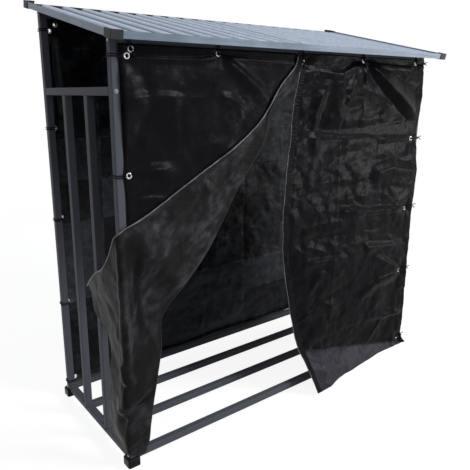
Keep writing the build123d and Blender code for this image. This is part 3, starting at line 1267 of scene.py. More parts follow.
@dataclass
class LeftCurtain(Cloth):
    """Left-hand front curtain, folded back over itself and thrown round the left post.

    The edges, the hem and the seam are places across and up. A place across beyond the post's corner
    runs back along the post's side. round_half is half the thickness of the fold's rounded bend.
    """

    free_edge: tuple[Spot, ...] = (
        (-38, 1346), (-49, 1306), (-115, 1240), (-177, 1156), (-243, 1095), (-336, 1034), (-516, 934),
        (-664, 853), (-760, 813), (-797, 772), (-863, 684), (-937, 643), (-1033, 568),
    )
    fold_edge: tuple[Spot, ...] = (
        (-20, 1346), (-18, 1300), (-55, 1232), (-85, 1210), (-161, 1155), (-188, 1052), (-300, 904),
        (-428, 709), (-564, 571), (-618, 505), (-621, 406), (-639, 303), (-668, 160), (-678, 84), (-695, 37),
    )
    lower_hem: tuple[Spot, ...] = (
        (-695, 37), (-764, 56), (-839, 71), (-875, 98), (-895, 122), (-880, 250), (-856, 390), (-875, 475),
        (-905, 474), (-965, 499), (-1003, 574), (-1033, 568),
    )
    seam: tuple[Spot, ...] = (
        (-730, 1322), (-708, 1316), (-600, 1314), (-454, 1316), (-377, 1327), (-230, 1322), (-90, 1316),
        (-20, 1312),
    )
    post_edge: tuple[Spot, ...] = (
        (-721, 40), (-721, 900), (-729, 981), (-722, 1030), (-719, 1130), (-722, 1270), (-729, 1322),
        (-728, 1351),
    )
    rail_edge: tuple[Spot, ...] = ((-731, 1351), (-380, 1351), (-60, 1350), (-20, 1346))
    front_relief: Relief = Relief(31)
    round_half: float = 6.0
    back_gap: float = 1.5
    closest: float = 0.8
    back_share: float = 0.8
    top: float = 1351.0
    bottom: float = 40.0

    def wrap(self, s: Array, out: Array, z: Array) -> Array:
        """Points of the plane wrapped round the outer corner of the left post.

        Args:
            s: Across, with the part beyond the post's corner running back along its side.
            out: Distance out from the post's faces.
            z: Height.

        Returns:
            The points, in millimetres.
        """
        radius = self.back_gap + 2 * self.round_half
        beyond = STORE.left - s
        angle = np.clip(beyond / radius, 0.0, math.pi / 2)
        back = np.maximum(beyond - radius * math.pi / 2, 0.0)
        x = np.maximum(s, STORE.left) - out * np.sin(angle)
        y = STORE.front - out * np.cos(angle) + back
        return np.stack([x, y, z], axis=-1)

    def lay(self) -> tuple[Array, Array, Array]:
        """Lay the back layer from the post to the fold, then the front layer on to the free edge."""
        count = self.columns // 2
        down = np.linspace(0.0, 1.0, self.rows)[:, None]
        free, fold = (smooth_line(edge, self.rows) for edge in (self.free_edge, self.fold_edge))
        dense = np.linspace(0.0, 1.0, count) ** 1.5
        inward = 1.0 - dense[::-1]
        lip = np.linspace(fold[0], free[0], count)
        front = patch(fold, free, lip, smooth_line(self.lower_hem, count, 1.5), dense, 4.0)
        level = self.top - down[:, 0] * (self.top - self.bottom)
        post = grid_of(at_level(level, *self.post_edge), level)
        rail = post[0, 0] + (fold[0, 0] - post[0, 0]) * inward
        foot_line = np.linspace(post[-1], fold[-1], count)
        back = patch(post, fold, grid_of(rail, ramp_line(rail, *self.rail_edge)), foot_line, inward)
        spots = np.concatenate([back[:, :-1], front], axis=1)
        s, z = spots[..., 0], spots[..., 1]
        behind = np.arange(s.shape[1])[None, :] < count - 1
        out = self.layered(spots, free, fold, behind)
        out = np.where(behind, self.pinned(hemmed(out, s, z, self.seam), s, z), out)
        out = np.maximum(out, self.closest)
        share = np.concatenate([inward[None] * (1 - down), 1.0 - down + down * dense[None]], axis=1)
        share = np.delete(share, count - 1, axis=1)
        flat = grid_of(share * self.width, down * self.height)
        return self.wrap(s, out, z), spots, flat

    def layered(self, spots: Array, free: Array, fold: Array, behind: Array) -> Array:
        """How far out each layer is.

        Args:
            spots: Places of the grid, by row and column.
            free: The free edge, by row.
            fold: The fold, by row.
            behind: True at the columns of the back layer.

        Returns:
            The distance out from the post's faces.
        """
        s, z = spots[..., 0], spots[..., 1]
        gap = np.linalg.norm(spots - fold[:, None], axis=-1)
        bulge = np.sqrt(np.maximum(self.round_half**2 - np.maximum(self.round_half - gap, 0.0) ** 2, 0.0))
        out = self.back_gap + self.round_half + np.where(behind, -1.0, 1.0) * bulge
        back_relief, uncovered = self.back_share * self.relief.at(s, z), self.uncovered(s, z)
        relief = np.where(behind, back_relief * uncovered, self.front_relief.at(s, z))
        out = out + relief * smooth_step((gap + 20.0) / 60.0)
        lift = np.linalg.norm(spots - free[:, None], axis=-1)
        under = self.back_gap + np.maximum(back_relief * uncovered, 0.0)
        laid = under + 3.0 + 2.0 * np.exp(-lift / 10.0)
        close = np.exp(-((lift / 42.0) ** 2)) * smooth_step((s + 790.0) / 60.0) * smooth_step(gap / 26.0)
        return np.where(behind, out, np.maximum(out + (laid - out) * close, 1.0))

    def patches(self) -> Array:
        """Number of the finish of each cell of the grid: 1 on the part folded over."""
        cells = np.zeros(np.subtract(self.points.shape[:2], 1), int)
        cells[:, self.columns // 2 - 1 :] = 1
        return cells

    def uncovered(self, s: Array, z: Array) -> Array:
        """1 where the back layer shows, and less where the front layer lies over it."""
        above = z - ramp_line(s, *self.free_edge[:8][::-1])
        return 0.45 + 0.55 * smooth_step((above + 70.0) / 90.0)


@dataclass
class BackTarp(Cloth):
    """Back tarpaulin, one sheet across the whole back, tied to the posts and the top rail.

    The top edge sags between ties that are rail_pitch apart, and the side edges draw in between ties
    that are post_pitch apart, up to first_tie.
    """

    top: float = 1484.0
    stand_off: float = 9.0
    closest: float = 1.5
    sag: float = 5.0
    rail_pitch: float = 344.5
    draw: float = 9.0
    post_pitch: float = 343.0
    first_tie: float = 1432.0
    rail_level: float = 1455.0

    def lay(self) -> tuple[Array, Array, Array]:
        """Lay a plain grid, seen from inside the store and from behind."""
        down = np.linspace(0.0, 1.0, self.rows)[:, None]
        across = np.linspace(0.0, 1.0, self.columns)[None, :]
        half = self.width / 2
        x = -half + across * self.width
        sag = self.sag * np.abs(np.sin(x / self.rail_pitch * math.pi)) * np.exp(-down * 8.0)
        z = self.top - down * self.height - sag
        waist = np.abs(np.sin((z - self.first_tie) / self.post_pitch * math.pi))
        x = x - np.sign(x) * self.draw * np.exp(-(half - np.abs(x)) / 40.0) * waist
        out = np.maximum(self.stand_off + self.relief.at(x, z), 3.0)
        out = out * (1.0 - 0.5 * smooth_step((z - self.rail_level) / 20.0))
        out = np.maximum(self.pinned(out, x, z), self.closest)
        points = np.stack([x, STORE.back + out, z], axis=-1)
        return points, grid_of(x, z), grid_of(across * self.width, down * self.height)


@dataclass
class Strands:
    """Round cords or edge rolls, gathered in one mesh."""

    radius: float
    sides: int = 6
    first_normal: tuple[float, float, float] = (0.3, 0.5, 0.81)
    points: list[Array] = field(default_factory=list)
    faces: list[list[int]] = field(default_factory=list)
    map: list[Spot] = field(default_factory=list)

    def add(self, path: Array, closed: bool = False) -> None:
        """Sweep a round section along a path.

        Args:
            path: The path, in millimetres.
            closed: Whether its end joins its start.
        """
        count, sides = len(path), self.sides
        run = np.roll(path, -1, axis=0) - np.roll(path, 1, axis=0) if closed else np.gradient(path, axis=0)
        run /= np.maximum(np.linalg.norm(run, axis=1, keepdims=True), TINY)
        normals = self.normals(run, closed)[:, None]
        across = np.cross(run, normals[:, 0])[:, None]
        angle = (math.tau * np.arange(sides) / sides)[None, :, None]
        rings = path[:, None] + self.radius * (normals * np.cos(angle) + across * np.sin(angle))
        start = sum(len(block) for block in self.points)
        self.points.append(rings.reshape(-1, 3))
        passed = passed_along(path)
        passed = np.append(passed, passed[-1] + np.linalg.norm(path[0] - path[-1])) * MM
        step = math.tau * self.radius * MM / self.sides
        corners = ((0, 0), (0, 1), (1, 1), (1, 0))
        for i, k in itertools.product(range(count if closed else count - 1), range(sides)):
            cells = [((i + a) % count, (k + b) % sides) for a, b in corners]
            self.faces.append([start + row * sides + column for row, column in cells])
            self.map += [(passed[i + a], (k + b) * step) for a, b in corners]
        if not closed:
            for i, order in ((0, -1), (count - 1, 1)):
                self.faces.append([start + i * sides + k for k in range(sides)][::order])
                self.map += [(passed[i], k * step) for k in range(sides)][::order]

    def normals(self, run: Array, closed: bool) -> Array:
        """Unit vectors square to a path, turning as little as they can.

        Args:
            run: The path's directions.
            closed: Whether its end joins its start.

        Returns:
            The vectors, one to a direction.
        """
        turn = np.array(self.first_normal)
        normals = []
        for way in run:
            turn = turn - way * (turn @ way)
            turn = turn / np.linalg.norm(turn)
            normals.append(turn)
        normals = np.array(normals)
        if closed:
            last = normals[-1] - run[0] * (normals[-1] @ run[0])
            twist = math.atan2(float(np.cross(last, normals[0]) @ run[0]), float(last @ normals[0]))
            angle = (twist * np.arange(len(run)) / len(run))[:, None]
            normals = normals * np.cos(angle) + np.cross(run, normals) * np.sin(angle)
        return normals

    def build(self, name: str, finish: Finish) -> bpy.types.Object:
        """Make the strands one piece.

        Args:
            name: The piece's name.
            finish: Its finish.

        Returns:
            The piece.
        """
        made = mesh_object(name, STORE.place(np.concatenate(self.points)), self.faces, (finish,))
        layer = made.data.uv_layers.new(name=CORD_MAP if finish is CORD else CLOTH_MAP)
        layer.data.foreach_set("uv", np.array(self.map, np.float32).ravel())
        settle(made, Slot.CLOTH)
        return made


@dataclass
class Repeats:
    """Small parts of one shape, standing on spots of the object."""

    finish: Finish
    slot: Slot

    def sizes(self) -> dict[str, float]:
        """The shape's sizes, in metres."""
        raise NotImplementedError

    def shape(self, tree: ShapeTree) -> Value:
        """The shape, standing on the plane z = 0 and facing up."""
        raise NotImplementedError

    def build(self, name: str, places: Array, facing: Array, along: Array) -> bpy.types.Object:
        """Stand the shapes on their spots, as one piece.

        Args:
            name: The piece's name.
            places: The spots, in metres.
            facing: Which way each shape faces.
            along: Which way its length runs.

        Returns:
            The piece.
        """
        tree = ShapeTree(name, self.sizes())
        tree.end(self.shape(tree), self.finish)
        made = linked(name, tree.grow(places, facing, along))
        settle(made, self.slot)
        return made


@dataclass
class Eyelets(Repeats):
    """Pressed metal eyelets with a rolled flange."""

    outer: float = 10.0
    inner: float = 5.0
    thickness: float = 2.8

    def sizes(self) -> dict[str, float]:
        """The shape's sizes, in metres."""
        middle, half = (self.outer + self.inner) / 2, (self.outer - self.inner) / 2
        thick = self.thickness / 2
        return {"Middle radius": middle * MM, "Flange half width": half * MM, "Half thickness": thick * MM}

    def shape(self, tree: ShapeTree) -> Value:
        """The flange, as an oval section swept round a circle."""
        middle, half, thick = (tree.entry.of(name) for name in self.sizes())
        circle = "GeometryNodeCurvePrimitiveCircle"
        path = tree.node(circle, None, {"Radius": middle, "Resolution": 24})
        section = tree.scaled(tree.node(circle, None, {"Radius": 1.0, "Resolution": 10}), half, thick, 1.0)
        return tree.node("GeometryNodeCurveToMesh", None, {"Curve": path, "Profile Curve": section})


@dataclass
class Stitches(Repeats):
    """Short raised stitches of thick thread."""

    length: float = 4.6
    width: float = 0.9

    def sizes(self) -> dict[str, float]:
        """The shape's sizes, in metres."""
        return {"Half length": self.length / 2 * MM, "Half width": self.width / 2 * MM}

    def shape(self, tree: ShapeTree) -> Value:
        """A long drop, half sunk in the cloth."""
        drop = tree.node("GeometryNodeMeshUVSphere", None, {"Segments": 5, "Rings": 4, "Radius": 1.0})
        length, width = (tree.entry.of(name) for name in self.sizes())
        return tree.scaled(drop, length, width, width)


@dataclass
class Bolts(Repeats):
    """Domed bolt heads with a driving recess, each on its washer."""

    radius: float = 4.6
    height: float = 2.8
    washer: float = 1.0
    washer_share: float = 1.35
    doming: float = 0.80
    recess: float = 0.7

    def sizes(self) -> dict[str, float]:
        """The shape's sizes, in metres."""
        return {"Radius": self.radius * MM, "Height": self.height * MM, "Washer": self.washer * MM}

    def shape(self, tree: ShapeTree) -> Value:
        """A drum drawn in towards its top, with its top pushed down in the middle, on a flat ring."""
        radius, height, washer = (tree.entry.of(name) for name in self.sizes())
        cylinder = "GeometryNodeMeshCylinder"
        sizes = {"Vertices": 18, "Side Segments": 4, "Radius": radius, "Depth": height}
        drum = tree.node(cylinder, None, sizes)
        parts = tree.split(tree.node("GeometryNodeInputPosition"))
        rise = parts.of("Z") / height + 0.5
        shrink = (1.0 - rise * rise * self.doming) ** 0.5
        place = tree.combine(parts * shrink, parts.of("Y") * shrink, parts.of("Z") + height * 0.5 + washer)
        dome = tree.node("GeometryNodeSetPosition", None, {"Geometry": drum, "Position": place})
        push = {
            "Mesh": dome, "Selection": drum.of("Top"), "Offset Scale": height * -self.recess,
            "Individual": False,
        }
        head = tree.node("GeometryNodeExtrudeMesh", None, push)
        ring = {"Vertices": 20, "Radius": radius * self.washer_share, "Depth": washer}
        rise = tree.combine(0.0, 0.0, washer * 0.5)
        lifted = {"Geometry": tree.node(cylinder, None, ring), "Translation": rise}
        return tree.join(head, tree.node("GeometryNodeTransform", None, lifted))


@dataclass
class FrameFixings:
    """Bolts through the posts into the rails, and through the end rails into the bars and the base rails."""

    def build(self) -> None:
        """Make the bolts of both ends one piece."""
        rows = []
        for side, name in ((-1, "left"), (1, "right")):
            cross, base = centre(f"cross_rail_{name}"), centre(f"base_side_rail_{name}")
            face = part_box(f"base_side_rail_{name}")[side > 0].x
            for end, out in (("front", -1), ("back", 1)):
                post, box = centre(f"{end}_post_{name}"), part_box(f"{end}_post_{name}")
                for rail in (f"top_rail_{end}_{name}", f"base_rail_{end}_{name}"):
                    rows.append(((box[side > 0].x, post.y, centre(rail).z), (side, 0, 0)))
                if (side, out) != (1, -1):
                    rows.append(((post.x, box[out > 0].y, cross.z), (0, out, 0)))
            for held in ("end_bar_{}_1", "end_bar_{}_2", "base_rail_middle_1_{}", "base_rail_middle_2_{}"):
                rows.append(((face, centre(held.format(name)).y, base.z), (side, 0, 0)))
        places, facing = (np.array([row[k] for row in rows], float) for k in (0, 1))
        along = np.array([UP] * len(rows))
        Bolts(ZINC, Slot.FRAME).build("frame_bolts", places, facing, along)


def centre(node: str) -> Vector:
    """Middle of a node's box."""
    low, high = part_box(node)
    return (low + high) / 2


@dataclass
class Lashings:
    """The cord ties of one sheet: two turns round the post or rail, a knot and its tails."""

    radius: float = 1.7
    spread: float = 3.2
    seed: int = 5
    clearance: float = 0.15
    over_ring: float = 2.4
    knot_size: float = 1.15
    tail: float = 12.0
    corner_tail: float = 17.0

    def build(self, cloth: Cloth) -> bpy.types.Object:
        """Make all the ties of a sheet one piece.

        Args:
            cloth: The sheet.

        Returns:
            The piece.
        """
        strands = Strands(self.radius)
        rng = np.random.default_rng(self.seed)
        for tie in cloth.ties:
            for holder in tie.holders:
                for offset in (-self.spread, self.spread):
                    loop = smooth_line(self.route(cloth, tie, holder, offset), 61)
                    strands.add(loop[:-1], closed=True)
            self.knot(cloth, tie, strands, rng)
        return strands.build(cloth.node + "_ties", CORD)

    def route(
        self, cloth: Cloth, tie: Tie, holder: Holder, offset: float
    ) -> list[tuple[float, float, float]]:
        """One turn of cord, from the front of the eyelet round the tube and back through the eyelet.

        Args:
            cloth: The sheet.
            tie: The tie.
            holder: What the turn goes round.
            offset: How far the turn is from the tie's middle, along the tube.

        Returns:
            The turn's points, the last of them at the first.
        """
        s, z = tie.spot
        side = holder.value
        rail = STORE.front_rail_low if cloth.outward < 0 else STORE.back_rail_low
        near, start = (STORE.right - STORE.tube, s * side) if side else (rail, z)
        far, deep, r = near + STORE.tube, -STORE.tube, self.radius + self.clearance

        def level(u: float) -> float:
            """How far out the sheet is, u along the way from the eyelet to the tube."""
            return cloth.distance_out(*((u * side, z) if side else (s, u)))

        ring = max(level(start), 2.0)
        first = ring + self.over_ring
        parts = np.linspace(0.0, 1.0, 6)[1:-1]
        over = [(start + (far - 1.0 - start) * k, first + (r - first) * k) for k in parts]
        over = [(u, max(out, level(u) + self.radius + 0.5)) for u, out in over]
        bend = 0.7 * r
        loop = [
            (start, first), *over, (far - 0.5, r), (far + bend, bend), (far + r, -0.8), (far + r, deep + 0.8),
            (far + bend, deep - bend), (far - 0.5, deep - r), (near + 0.5, deep - r),
            (near - bend, deep - bend), (near - r, deep + 0.8), (near - r, -1.5), (start, ring - 2.0),
            (start, first),
        ]
        last = len(loop) - 1
        spread = [offset * (0.25 if k in (0, last - 1, last) else 1.0) for k in range(last + 1)]
        turned = [(u, cloth.outward * (STORE.back + out), o) for (u, out), o in zip(loop, spread)]
        return [(u * side, y, z + o) if side else (s + o, y, u) for u, y, o in turned]

    def knot(self, cloth: Cloth, tie: Tie, strands: Strands, rng: np.random.Generator) -> None:
        """Add a tie's knot, with its two tails."""
        s, z = tie.spot
        side = tie.holders[0].value
        out = cloth.distance_out(s, z)
        where = np.array([s + 5.0 * (side or 0.6), cloth.outward * (STORE.back + out + 4.2), z - 2.0])
        way = np.array([side or 0.4, 0.35 * cloth.outward, -0.35])
        if tie.knot_at_corner:
            where = np.array([side * (STORE.right + 4.5), cloth.outward * (STORE.back + 1.0), z])
            way = np.array([side, 0.25 * cloth.outward, 0.45])
        t = np.linspace(0.0, math.tau, 36, endpoint=False)
        trefoil = np.sin(t) + 2 * np.sin(2 * t), np.cos(t) - 2 * np.cos(2 * t), -1.4 * np.sin(3 * t)
        turn = np.array(Matrix.Rotation(rng.uniform(0.0, math.tau), 3, Vector((0.3, 1.0, 0.2))))
        strands.add(where + self.knot_size * np.stack(trefoil, axis=1) @ turn.T, closed=True)
        for lean in (-0.5, 0.5):
            length = rng.uniform(0.7, 1.2) * (self.corner_tail if tie.knot_at_corner else self.tail)
            tail = way + np.array([0.15 * lean, 0.2 * lean * cloth.outward, lean])
            steps = [np.zeros(3), 0.35 * tail, 0.7 * tail + (0, 0, -0.12), tail + (0, 0, -0.5)]
            strands.add(smooth_line([where + length * step for step in steps], 10))


@dataclass
class BackTrims:
    """Folded trims along the back edge of the roof, with a hemmed upstand as high as the roof's ribs.

    cad_height is the height of the upstand that they replace. Their top, inner face and flange top wear a
    near-black copy of the trim paint: painted shade.
    """

    cad_height: float = 20.0
    height: float = 13.4
    flange: float = 18.0
    thickness: float = 1.0
    hem: float = 4.0
    stations: int = 9
    sharp_angle: float = math.radians(50.0)

    def build(self) -> None:
        """Make the left and right trims."""
        up, out = 1.0 / math.hypot(1.0, ROOF_PITCH), ROOF_PITCH / math.hypot(1.0, ROOF_PITCH)
        t, h = self.thickness, self.height
        section = [
            (-0.6, 0.0), (-0.15, 0.15), (0.0, 0.6), (0.0, h - 0.5), (-0.3, h), (-1.8, h), (-2.1, h - 0.5),
            (-2.1, h - self.hem), (-1.9, h - self.hem - 0.2), (-t, h - self.hem - 0.2), (-t, t + 0.6),
            (-t - 0.6, t), (-self.flange, t), (-self.flange, 0.0),
        ]
        count = len(section)
        for side in ("left", "right"):
            node = f"back_trim_{side}"
            low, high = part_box(node)
            y0, z0 = high.y, high.z - self.cad_height * MM * up
            rows = [(y0 + (u * up - n * out) * MM, z0 + (u * out + n * up) * MM) for u, n in section]
            along = np.linspace(low.x, high.x, self.stations)
            points = np.array([(x, y, z) for x in along for y, z in rows])
            faces, finish = [], []
            for i, k in itertools.product(range(len(along) - 1), range(count)):
                a, b = i * count + k, i * count + (k + 1) % count
                faces.append([a, a + count, b + count, b])
                # 1 on the faces that wear the near-black copy of the trim paint, a painted shade.
                finish.append(int(3 <= k < count - 1))
            faces += [list(range(count)), list(range(len(points) - count, len(points)))[::-1]]
            made = mesh_object(f"{node}_folded", points, faces, (TRIM, TRIM_SHADE))
            made.data.polygons.foreach_set("material_index", [*finish, 0, 0])
            made.data.set_sharp_from_angle(angle=self.sharp_angle)
            settle(made, Slot.TRIM, node)


@dataclass
class Camera:
    """The camera, at the photograph's place and angle."""

    location: tuple[float, float, float] = (-1.4175, -1.6315, 1.2198)
    azimuth: float = -36.729
    elevation: float = 14.308
    roll: float = -0.113
    focal_pixels: float = 522.85
    centre_x: float = 215.91
    centre_y: float = 225.40
    sensor: float = 36.0
    clip: Spot = (0.05, 200.0)

    def build(self) -> None:
        """Make the camera and set it as the scene's."""
        data = bpy.data.cameras.new("camera")
        data.sensor_width = self.sensor
        data.lens = self.focal_pixels * self.sensor / IMAGE_SIDE
        data.shift_x = 0.5 - self.centre_x / IMAGE_SIDE
        data.shift_y = self.centre_y / IMAGE_SIDE - 0.5
        data.clip_start, data.clip_end = self.clip
        camera = linked("camera", data)
        turn = Matrix.Rotation(math.radians(self.azimuth), 4, "Z")
        tilt = Matrix.Rotation(math.radians(90.0 - self.elevation), 4, "X")
        roll = Matrix.Rotation(math.radians(self.roll), 4, "Z")
        camera.matrix_world = Matrix.Translation(self.location) @ turn @ tilt @ roll
        bpy.context.scene.camera = camera


@dataclass
class Studio:
    """Pale floor, soft lamps and a pale sky.

    A lamp is its name, its place, what it is aimed at, its side in metres and its power in watts.
    """

    floor_radius: float = 60.0
    floor_corners: int = 64
    fill_light: Colour = (0.27, 0.285, 0.32)
    sky: Colour = WHITE
    lamps: tuple[tuple[str, tuple, tuple, float, float], ...] = (
        ("key", (2.7, -3.4, 3.1), (0.0, -0.3, 0.8), 1.5, 172.0),
        ("low", (4.2, -3.1, 0.46), (0.0, -0.3, 0.4), 0.9, 34.0),
        ("fill", (-3.4, -2.6, 3.0), (0.0, 0.0, 0.7), 1.6, 9.0),
        ("top", (0.4, 0.2, 4.4), (0.0, 0.0, 1.0), 2.6, 15.0),
    )

    def build(self) -> None:
        """Make the floor, the lamps and the world."""
        ring = [math.tau * k / self.floor_corners for k in range(self.floor_corners)]
        points = [(self.floor_radius * math.cos(a), self.floor_radius * math.sin(a), 0.0) for a in ring]
        mesh = bpy.data.meshes.new("floor")
        mesh.from_pydata(points, [], [list(range(self.floor_corners))])
        mesh.materials.append(StudioFloor("studio_floor").material())
        linked("floor", mesh)
        for name, place, target, side, power in self.lamps:
            data = bpy.data.lights.new(name, "AREA")
            data.shape, data.size, data.energy = "SQUARE", side, power
            aim = (Vector(target) - Vector(place)).to_track_quat("-Z", "Y")
            linked(name, data).matrix_world = Matrix.Translation(place) @ aim.to_matrix().to_4x4()
        world = bpy.data.worlds.new("sky")
        bpy.context.scene.world = world
        world.use_nodes = True
        graph = Graph(world.node_tree)
        values = {0: seen_rays(graph), 6: self.fill_light, 7: self.sky}
        colour = graph.node("ShaderNodeMix", {"data_type": "RGBA"}, values, 2)
        light = graph.node("ShaderNodeBackground", None, {"Color": colour, "Strength": 1.0})
        graph.node("ShaderNodeOutputWorld", None, {"Surface": light})
        bpy.context.scene.view_settings.view_transform = "Standard"


@dataclass
class Dressing:
    """Finishes of the CAD nodes that stay as they are."""

    finishes: dict[str, Finish] = field(
        default_factory=lambda: {
            Slot.FRAME.value: FRAME_COAT,
            Slot.ROOF.value: ROOF_SHEET,
            Slot.TRIM.value: TRIM,
            Slot.CORNER.value: CORNER_PLASTIC,
            Slot.FOOT.value: FOOT_PLASTIC,
            Slot.CLOTH.value: CLOTH,
        }
    )

    def dress(self) -> None:
        """Give each CAD node its finish."""
        for row in frame["record"]["subparts"]:
            node = frame["nodes"][row["node"]]
            node.data.materials.clear()
            node.data.materials.append(self.finishes[row["material_slot"]].material())
            log.info("dressed %s", row["node"])


@dataclass
class Curtains:
    """The three tarpaulins. rolls are the radii of the edge rolls on the right and left curtains."""

    stitch_pitch: float = 7.0
    rolls: Spot = (1.3, 2.4)

    def build(self) -> None:
        """Make the sheets."""
        right_folds = (
            Fold(((345, 1325), (560, 1200), (740, 1098)), 29, 88, 46, 0.6),
            Fold(((331, 1330), (190, 1290)), 9, 24, 45, 0.6),
            Fold(((331, 1330), (215, 1180)), 10, 34, 40, 0.6),
            Fold(((331, 1325), (352, 1240)), 6, 20, 24, 0.6),
            Fold(((208, 1186), (290, 1200), (370, 1199)), 8, 14, 40, 0.0, 2.5),
            Fold(((196, 1320), (204, 1182), (206, 1040)), 5, 12, 70, 0.0, 2.5),
            Fold(((-20, 1085), (236, 1067), (406, 1063), (700, 1036)), -12, 46, 26),
            Fold(((700, 1017), (560, 1022), (430, 1016)), 7, 14, 26, 0.3, 2.5),
            Fold(((412, 880), (550, 905), (743, 862)), 11, 34, 80),
            Fold(((690, 704), (420, 722), (170, 757)), 8, 36, 26, 0.6),
            Fold(((40, 562), (160, 548), (300, 536)), 7, 18, 34, 0.0, 2.5),
            Fold(((400, 565), (560, 540), (700, 525)), 7, 24, 40, 0.0, 2.5),
            Fold(((-40, 640), (120, 655), (330, 640)), -7, 30, 50),
            Fold(((690, 385), (520, 372), (380, 330)), 11, 50, 30, 0.5),
            Fold(((690, 400), (560, 470), (470, 500)), 7, 24, 34, 0.6),
            Fold(((735, 180), (590, 190), (430, 220)), 10, 26, 70, 0.6),
            Fold(((30, 330), (160, 345), (300, 330)), 6, 30, 40),
            Fold(((100, 1240), (60, 1130), (70, 980)), 7, 26, 40),
            Fold(((80, 178), (140, 160), (205, 128)), -9, 20, 26),
        )
        left_folds = (
            Fold(((-372, 1328), (-270, 1262), (-150, 1190)), 15, 34, 50, 0.6, 3.0),
            Fold(((-380, 1206), (-330, 1200), (-265, 1160)), 9, 20, 30, 0.0, 2.0),
            Fold(((-560, 1030), (-420, 1058), (-300, 1040)), 7, 34, 44, 0.0, 4.0),
            Fold(((-723, 1201), (-600, 1210), (-492, 1205)), 6, 16, 44, 0.0, 2.0),
            Fold(((-722, 1310), (-727, 1150), (-722, 1000)), 12, 92, 14, 0.0, 5.0),
            Fold(((-668, 1312), (-636, 1190), (-700, 1010)), -6, 30, 34),
            Fold(((-726, 984), (-640, 992), (-540, 985)), 14, 30, 50, 0.5, 3.0),
            Fold(((-726, 970), (-620, 952), (-560, 950)), -8, 20, 20, 0.5),
            Fold(((-720, 900), (-640, 905), (-560, 893)), 8, 14, 28, 0.0, 2.5),
            Fold(((-545, 1300), (-549, 1150), (-546, 1000)), 4, 22, 70, 0.0, 2.0),
            Fold(((-720, 1190), (-500, 1195), (-280, 1180)), 11, 130, 210),
            Fold(((-291, 1250), (-293, 1010)), -4, 30, 50),
        )
        front_folds = (
            Fold(((-758, 800), (-750, 560), (-742, 300)), 9, 16, 22),
            Fold(((-700, 800), (-712, 620), (-705, 420)), -8, 20, 44),
            Fold(((-730, 800), (-600, 660), (-470, 530)), 20, 110, 60, 0.0, 8.0),
            Fold(((-460, 960), (-430, 900), (-440, 850)), 8, 20, 30, 0.0, 2.0),
            Fold(((-440, 940), (-400, 890)), 6, 14, 20, 0.0, 2.0),
            Fold(((-560, 560), (-470, 680), (-400, 770)), 9, 26, 44),
            Fold(((-620, 500), (-560, 590), (-480, 660)), -7, 26, 40),
            Fold(((-780, 388), (-771, 353), (-758, 322), (-727, 302)), 9, 40, 16, 0.0, 2.0),
            Fold(((-752, 350), (-727, 304)), 7, 14, 26, 0.0, 2.0),
            Fold(((-815, 172), (-769, 178), (-749, 212), (-686, 230), (-640, 262)), -15, 26, 50, 0.0, 3.0),
            Fold(((-812, 200), (-765, 214), (-740, 244), (-650, 290)), 11, 60, 22, 0.0, 3.0),
            Fold(((-632, 400), (-660, 458), (-690, 525)), 6, 20, 30, 0.0, 2.5),
        )
        back_folds = (
            Fold(((-704, 1440), (-703, 1333), (-697, 1228), (-700, 1100)), 13, 22, 16, 0.0, 2.5),
            Fold(((-560, 1440), (-520, 1200), (-590, 1000)), 8, 60, 60),
            Fold(((430, 1120), (520, 1118)), 6, 10, 14, 0.0, 2.0),
            Fold(((300, 942), (480, 982)), 5, 20, 20, 0.0, 2.5),
            Fold(((-620, 760), (-300, 742)), 7, 20, 34, 0.0, 2.5),
        )
        left_post, rail, right_post = Holder.LEFT_POST, Holder.RAIL, Holder.RIGHT_POST
        right_ties = (
            Tie((-10, 1322), (rail,)), Tie((331, 1337), (rail,)), Tie((683, 1338), (right_post, rail), True),
            Tie((695, 1017), (right_post,), True), Tie((693, 700), (right_post,), True),
            Tie((691, 396), (right_post,), True), Tie((717, 44), (right_post,), True),
        )
        left_ties = (
            Tie((-692, 1338), (rail,)), Tie((-716, 1320), (left_post,)), Tie((-381, 1337), (rail,)),
            Tie((-721, 981), (left_post,)),
        )
        back_rows = ((1432, 713), (1092, 715), (748, 716), (405, 716), (62, 714))
        back_ties = (
            *(Tie((side.value * s, z), (side,)) for z, s in back_rows for side in (left_post, right_post)),
            *(Tie((s, 1455), (rail,)) for s in (-686, -344.5, 0, 344.5, 686)),
        )
        right = RightCurtain(
            "front_curtain_right_cloth", "front_curtain_right", Relief(11, right_folds), width=765.0,
            finishes=(CLOTH, BINDING), ties=right_ties, rests_on=("top_rail_front_right", "front_post_right"),
        )
        left = LeftCurtain(
            "front_curtain_left_cloth", "front_curtain_left", Relief(27, left_folds), height=1300.0,
            finishes=(LIT_CLOTH, REVERSE_AND_SHEEN), ties=left_ties,
            rests_on=("top_rail_front_left", "front_post_left", "end_bar_left_1"),
            front_relief=Relief(31, front_folds, cell_height=3.5),
        )
        back = BackTarp(
            "back_tarp_cloth", "back_tarp", Relief(41, back_folds), 200, 200, 1466.0, 1445.0, outward=1,
            finishes=(BACK_CLOTH,), ties=back_ties, rests_on=("top_rail_back_left", "top_rail_back_right"),
        )
        for cloth in (right, left, back):
            cloth.build()
        rows, last = np.arange(4, right.rows - 4), right.rows - 1
        wide = np.arange(4, right.columns - 4)
        inner = np.arange(4, back.rows - 4)
        back_lines = [(k, inner) for k in (2, back.rows - 3)]
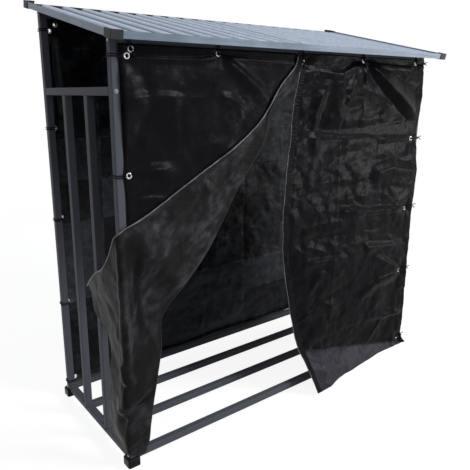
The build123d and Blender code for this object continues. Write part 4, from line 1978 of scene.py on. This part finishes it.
        lines = (
            (right, [(rows, 1, 1), (rows, 6, 1), (rows, -4, 1), (last - 4, wide, 1), (3, wide, 1)]),
            (left, [(rows, 3, 1), (3, wide[: left.columns // 2 - 8], 1), (rows, left.columns - 6, -1)]),
            (back, [(*pair, side) for line in back_lines for pair in (line[::-1], line) for side in (1, -1)]),
        )
        for cloth, paths in lines:
            pieces = [self.eyelets(cloth), Lashings().build(cloth), self.stitches(cloth, paths)]
            if cloth is not back:
                pieces.append(self.edge_roll(cloth, self.rolls[cloth is left]))
            cloth.declare(pieces)

    def stitches(self, cloth: Cloth, paths: Sequence[tuple]) -> bpy.types.Object:
        """Sew a sheet along paths of rows, columns and side."""
        runs = [cloth.stitch_line(rows, columns, self.stitch_pitch, side) for rows, columns, side in paths]
        places, facing, along = (np.concatenate([run[k] for run in runs]) for k in range(3))
        name = cloth.node + "_stitches"
        return Stitches(THREAD, Slot.CLOTH).build(name, STORE.place(places), facing, along)

    def eyelets(self, cloth: Cloth) -> bpy.types.Object:
        """Set the eyelets of a sheet in its holes."""
        normals = cloth.normals()
        spots = [cloth.nearest(*tie.spot) for tie in cloth.ties]
        places = np.array([cloth.points[spot] for spot in spots])
        ring = list(itertools.product((-2, 2), repeat=2))
        facing = np.array([sum(normals[row + i, column + j] for i, j in ring) for row, column in spots])
        along = np.array([UP] * len(spots))
        name = cloth.node + "_eyelets"
        return Eyelets(NICKEL, Slot.ROOF).build(name, STORE.place(places), facing, along)

    def edge_roll(self, cloth: Cloth, radius: float) -> bpy.types.Object:
        """Roll a cord-like edge along the free edge of a curtain, in the pale piping that paints a highlight
        line on it.
        """
        column = 0 if isinstance(cloth, RightCurtain) else -1
        roll = Strands(radius, 10)
        roll.add(cloth.points[::2, column] + (0.0, -0.6 * radius, 0.0))
        return roll.build(cloth.node + "_edge_roll", PIPING_HIGHLIGHT)


def main() -> None:
    """Build the studio and the pieces in order."""
    logging.basicConfig(level=logging.INFO, format="%(message)s")
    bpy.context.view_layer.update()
    Camera().build()
    Studio().build()
    Dressing().dress()
    BackTrims().build()
    FrameFixings().build()
    Curtains().build()


if __name__ == "__main__":
    main()
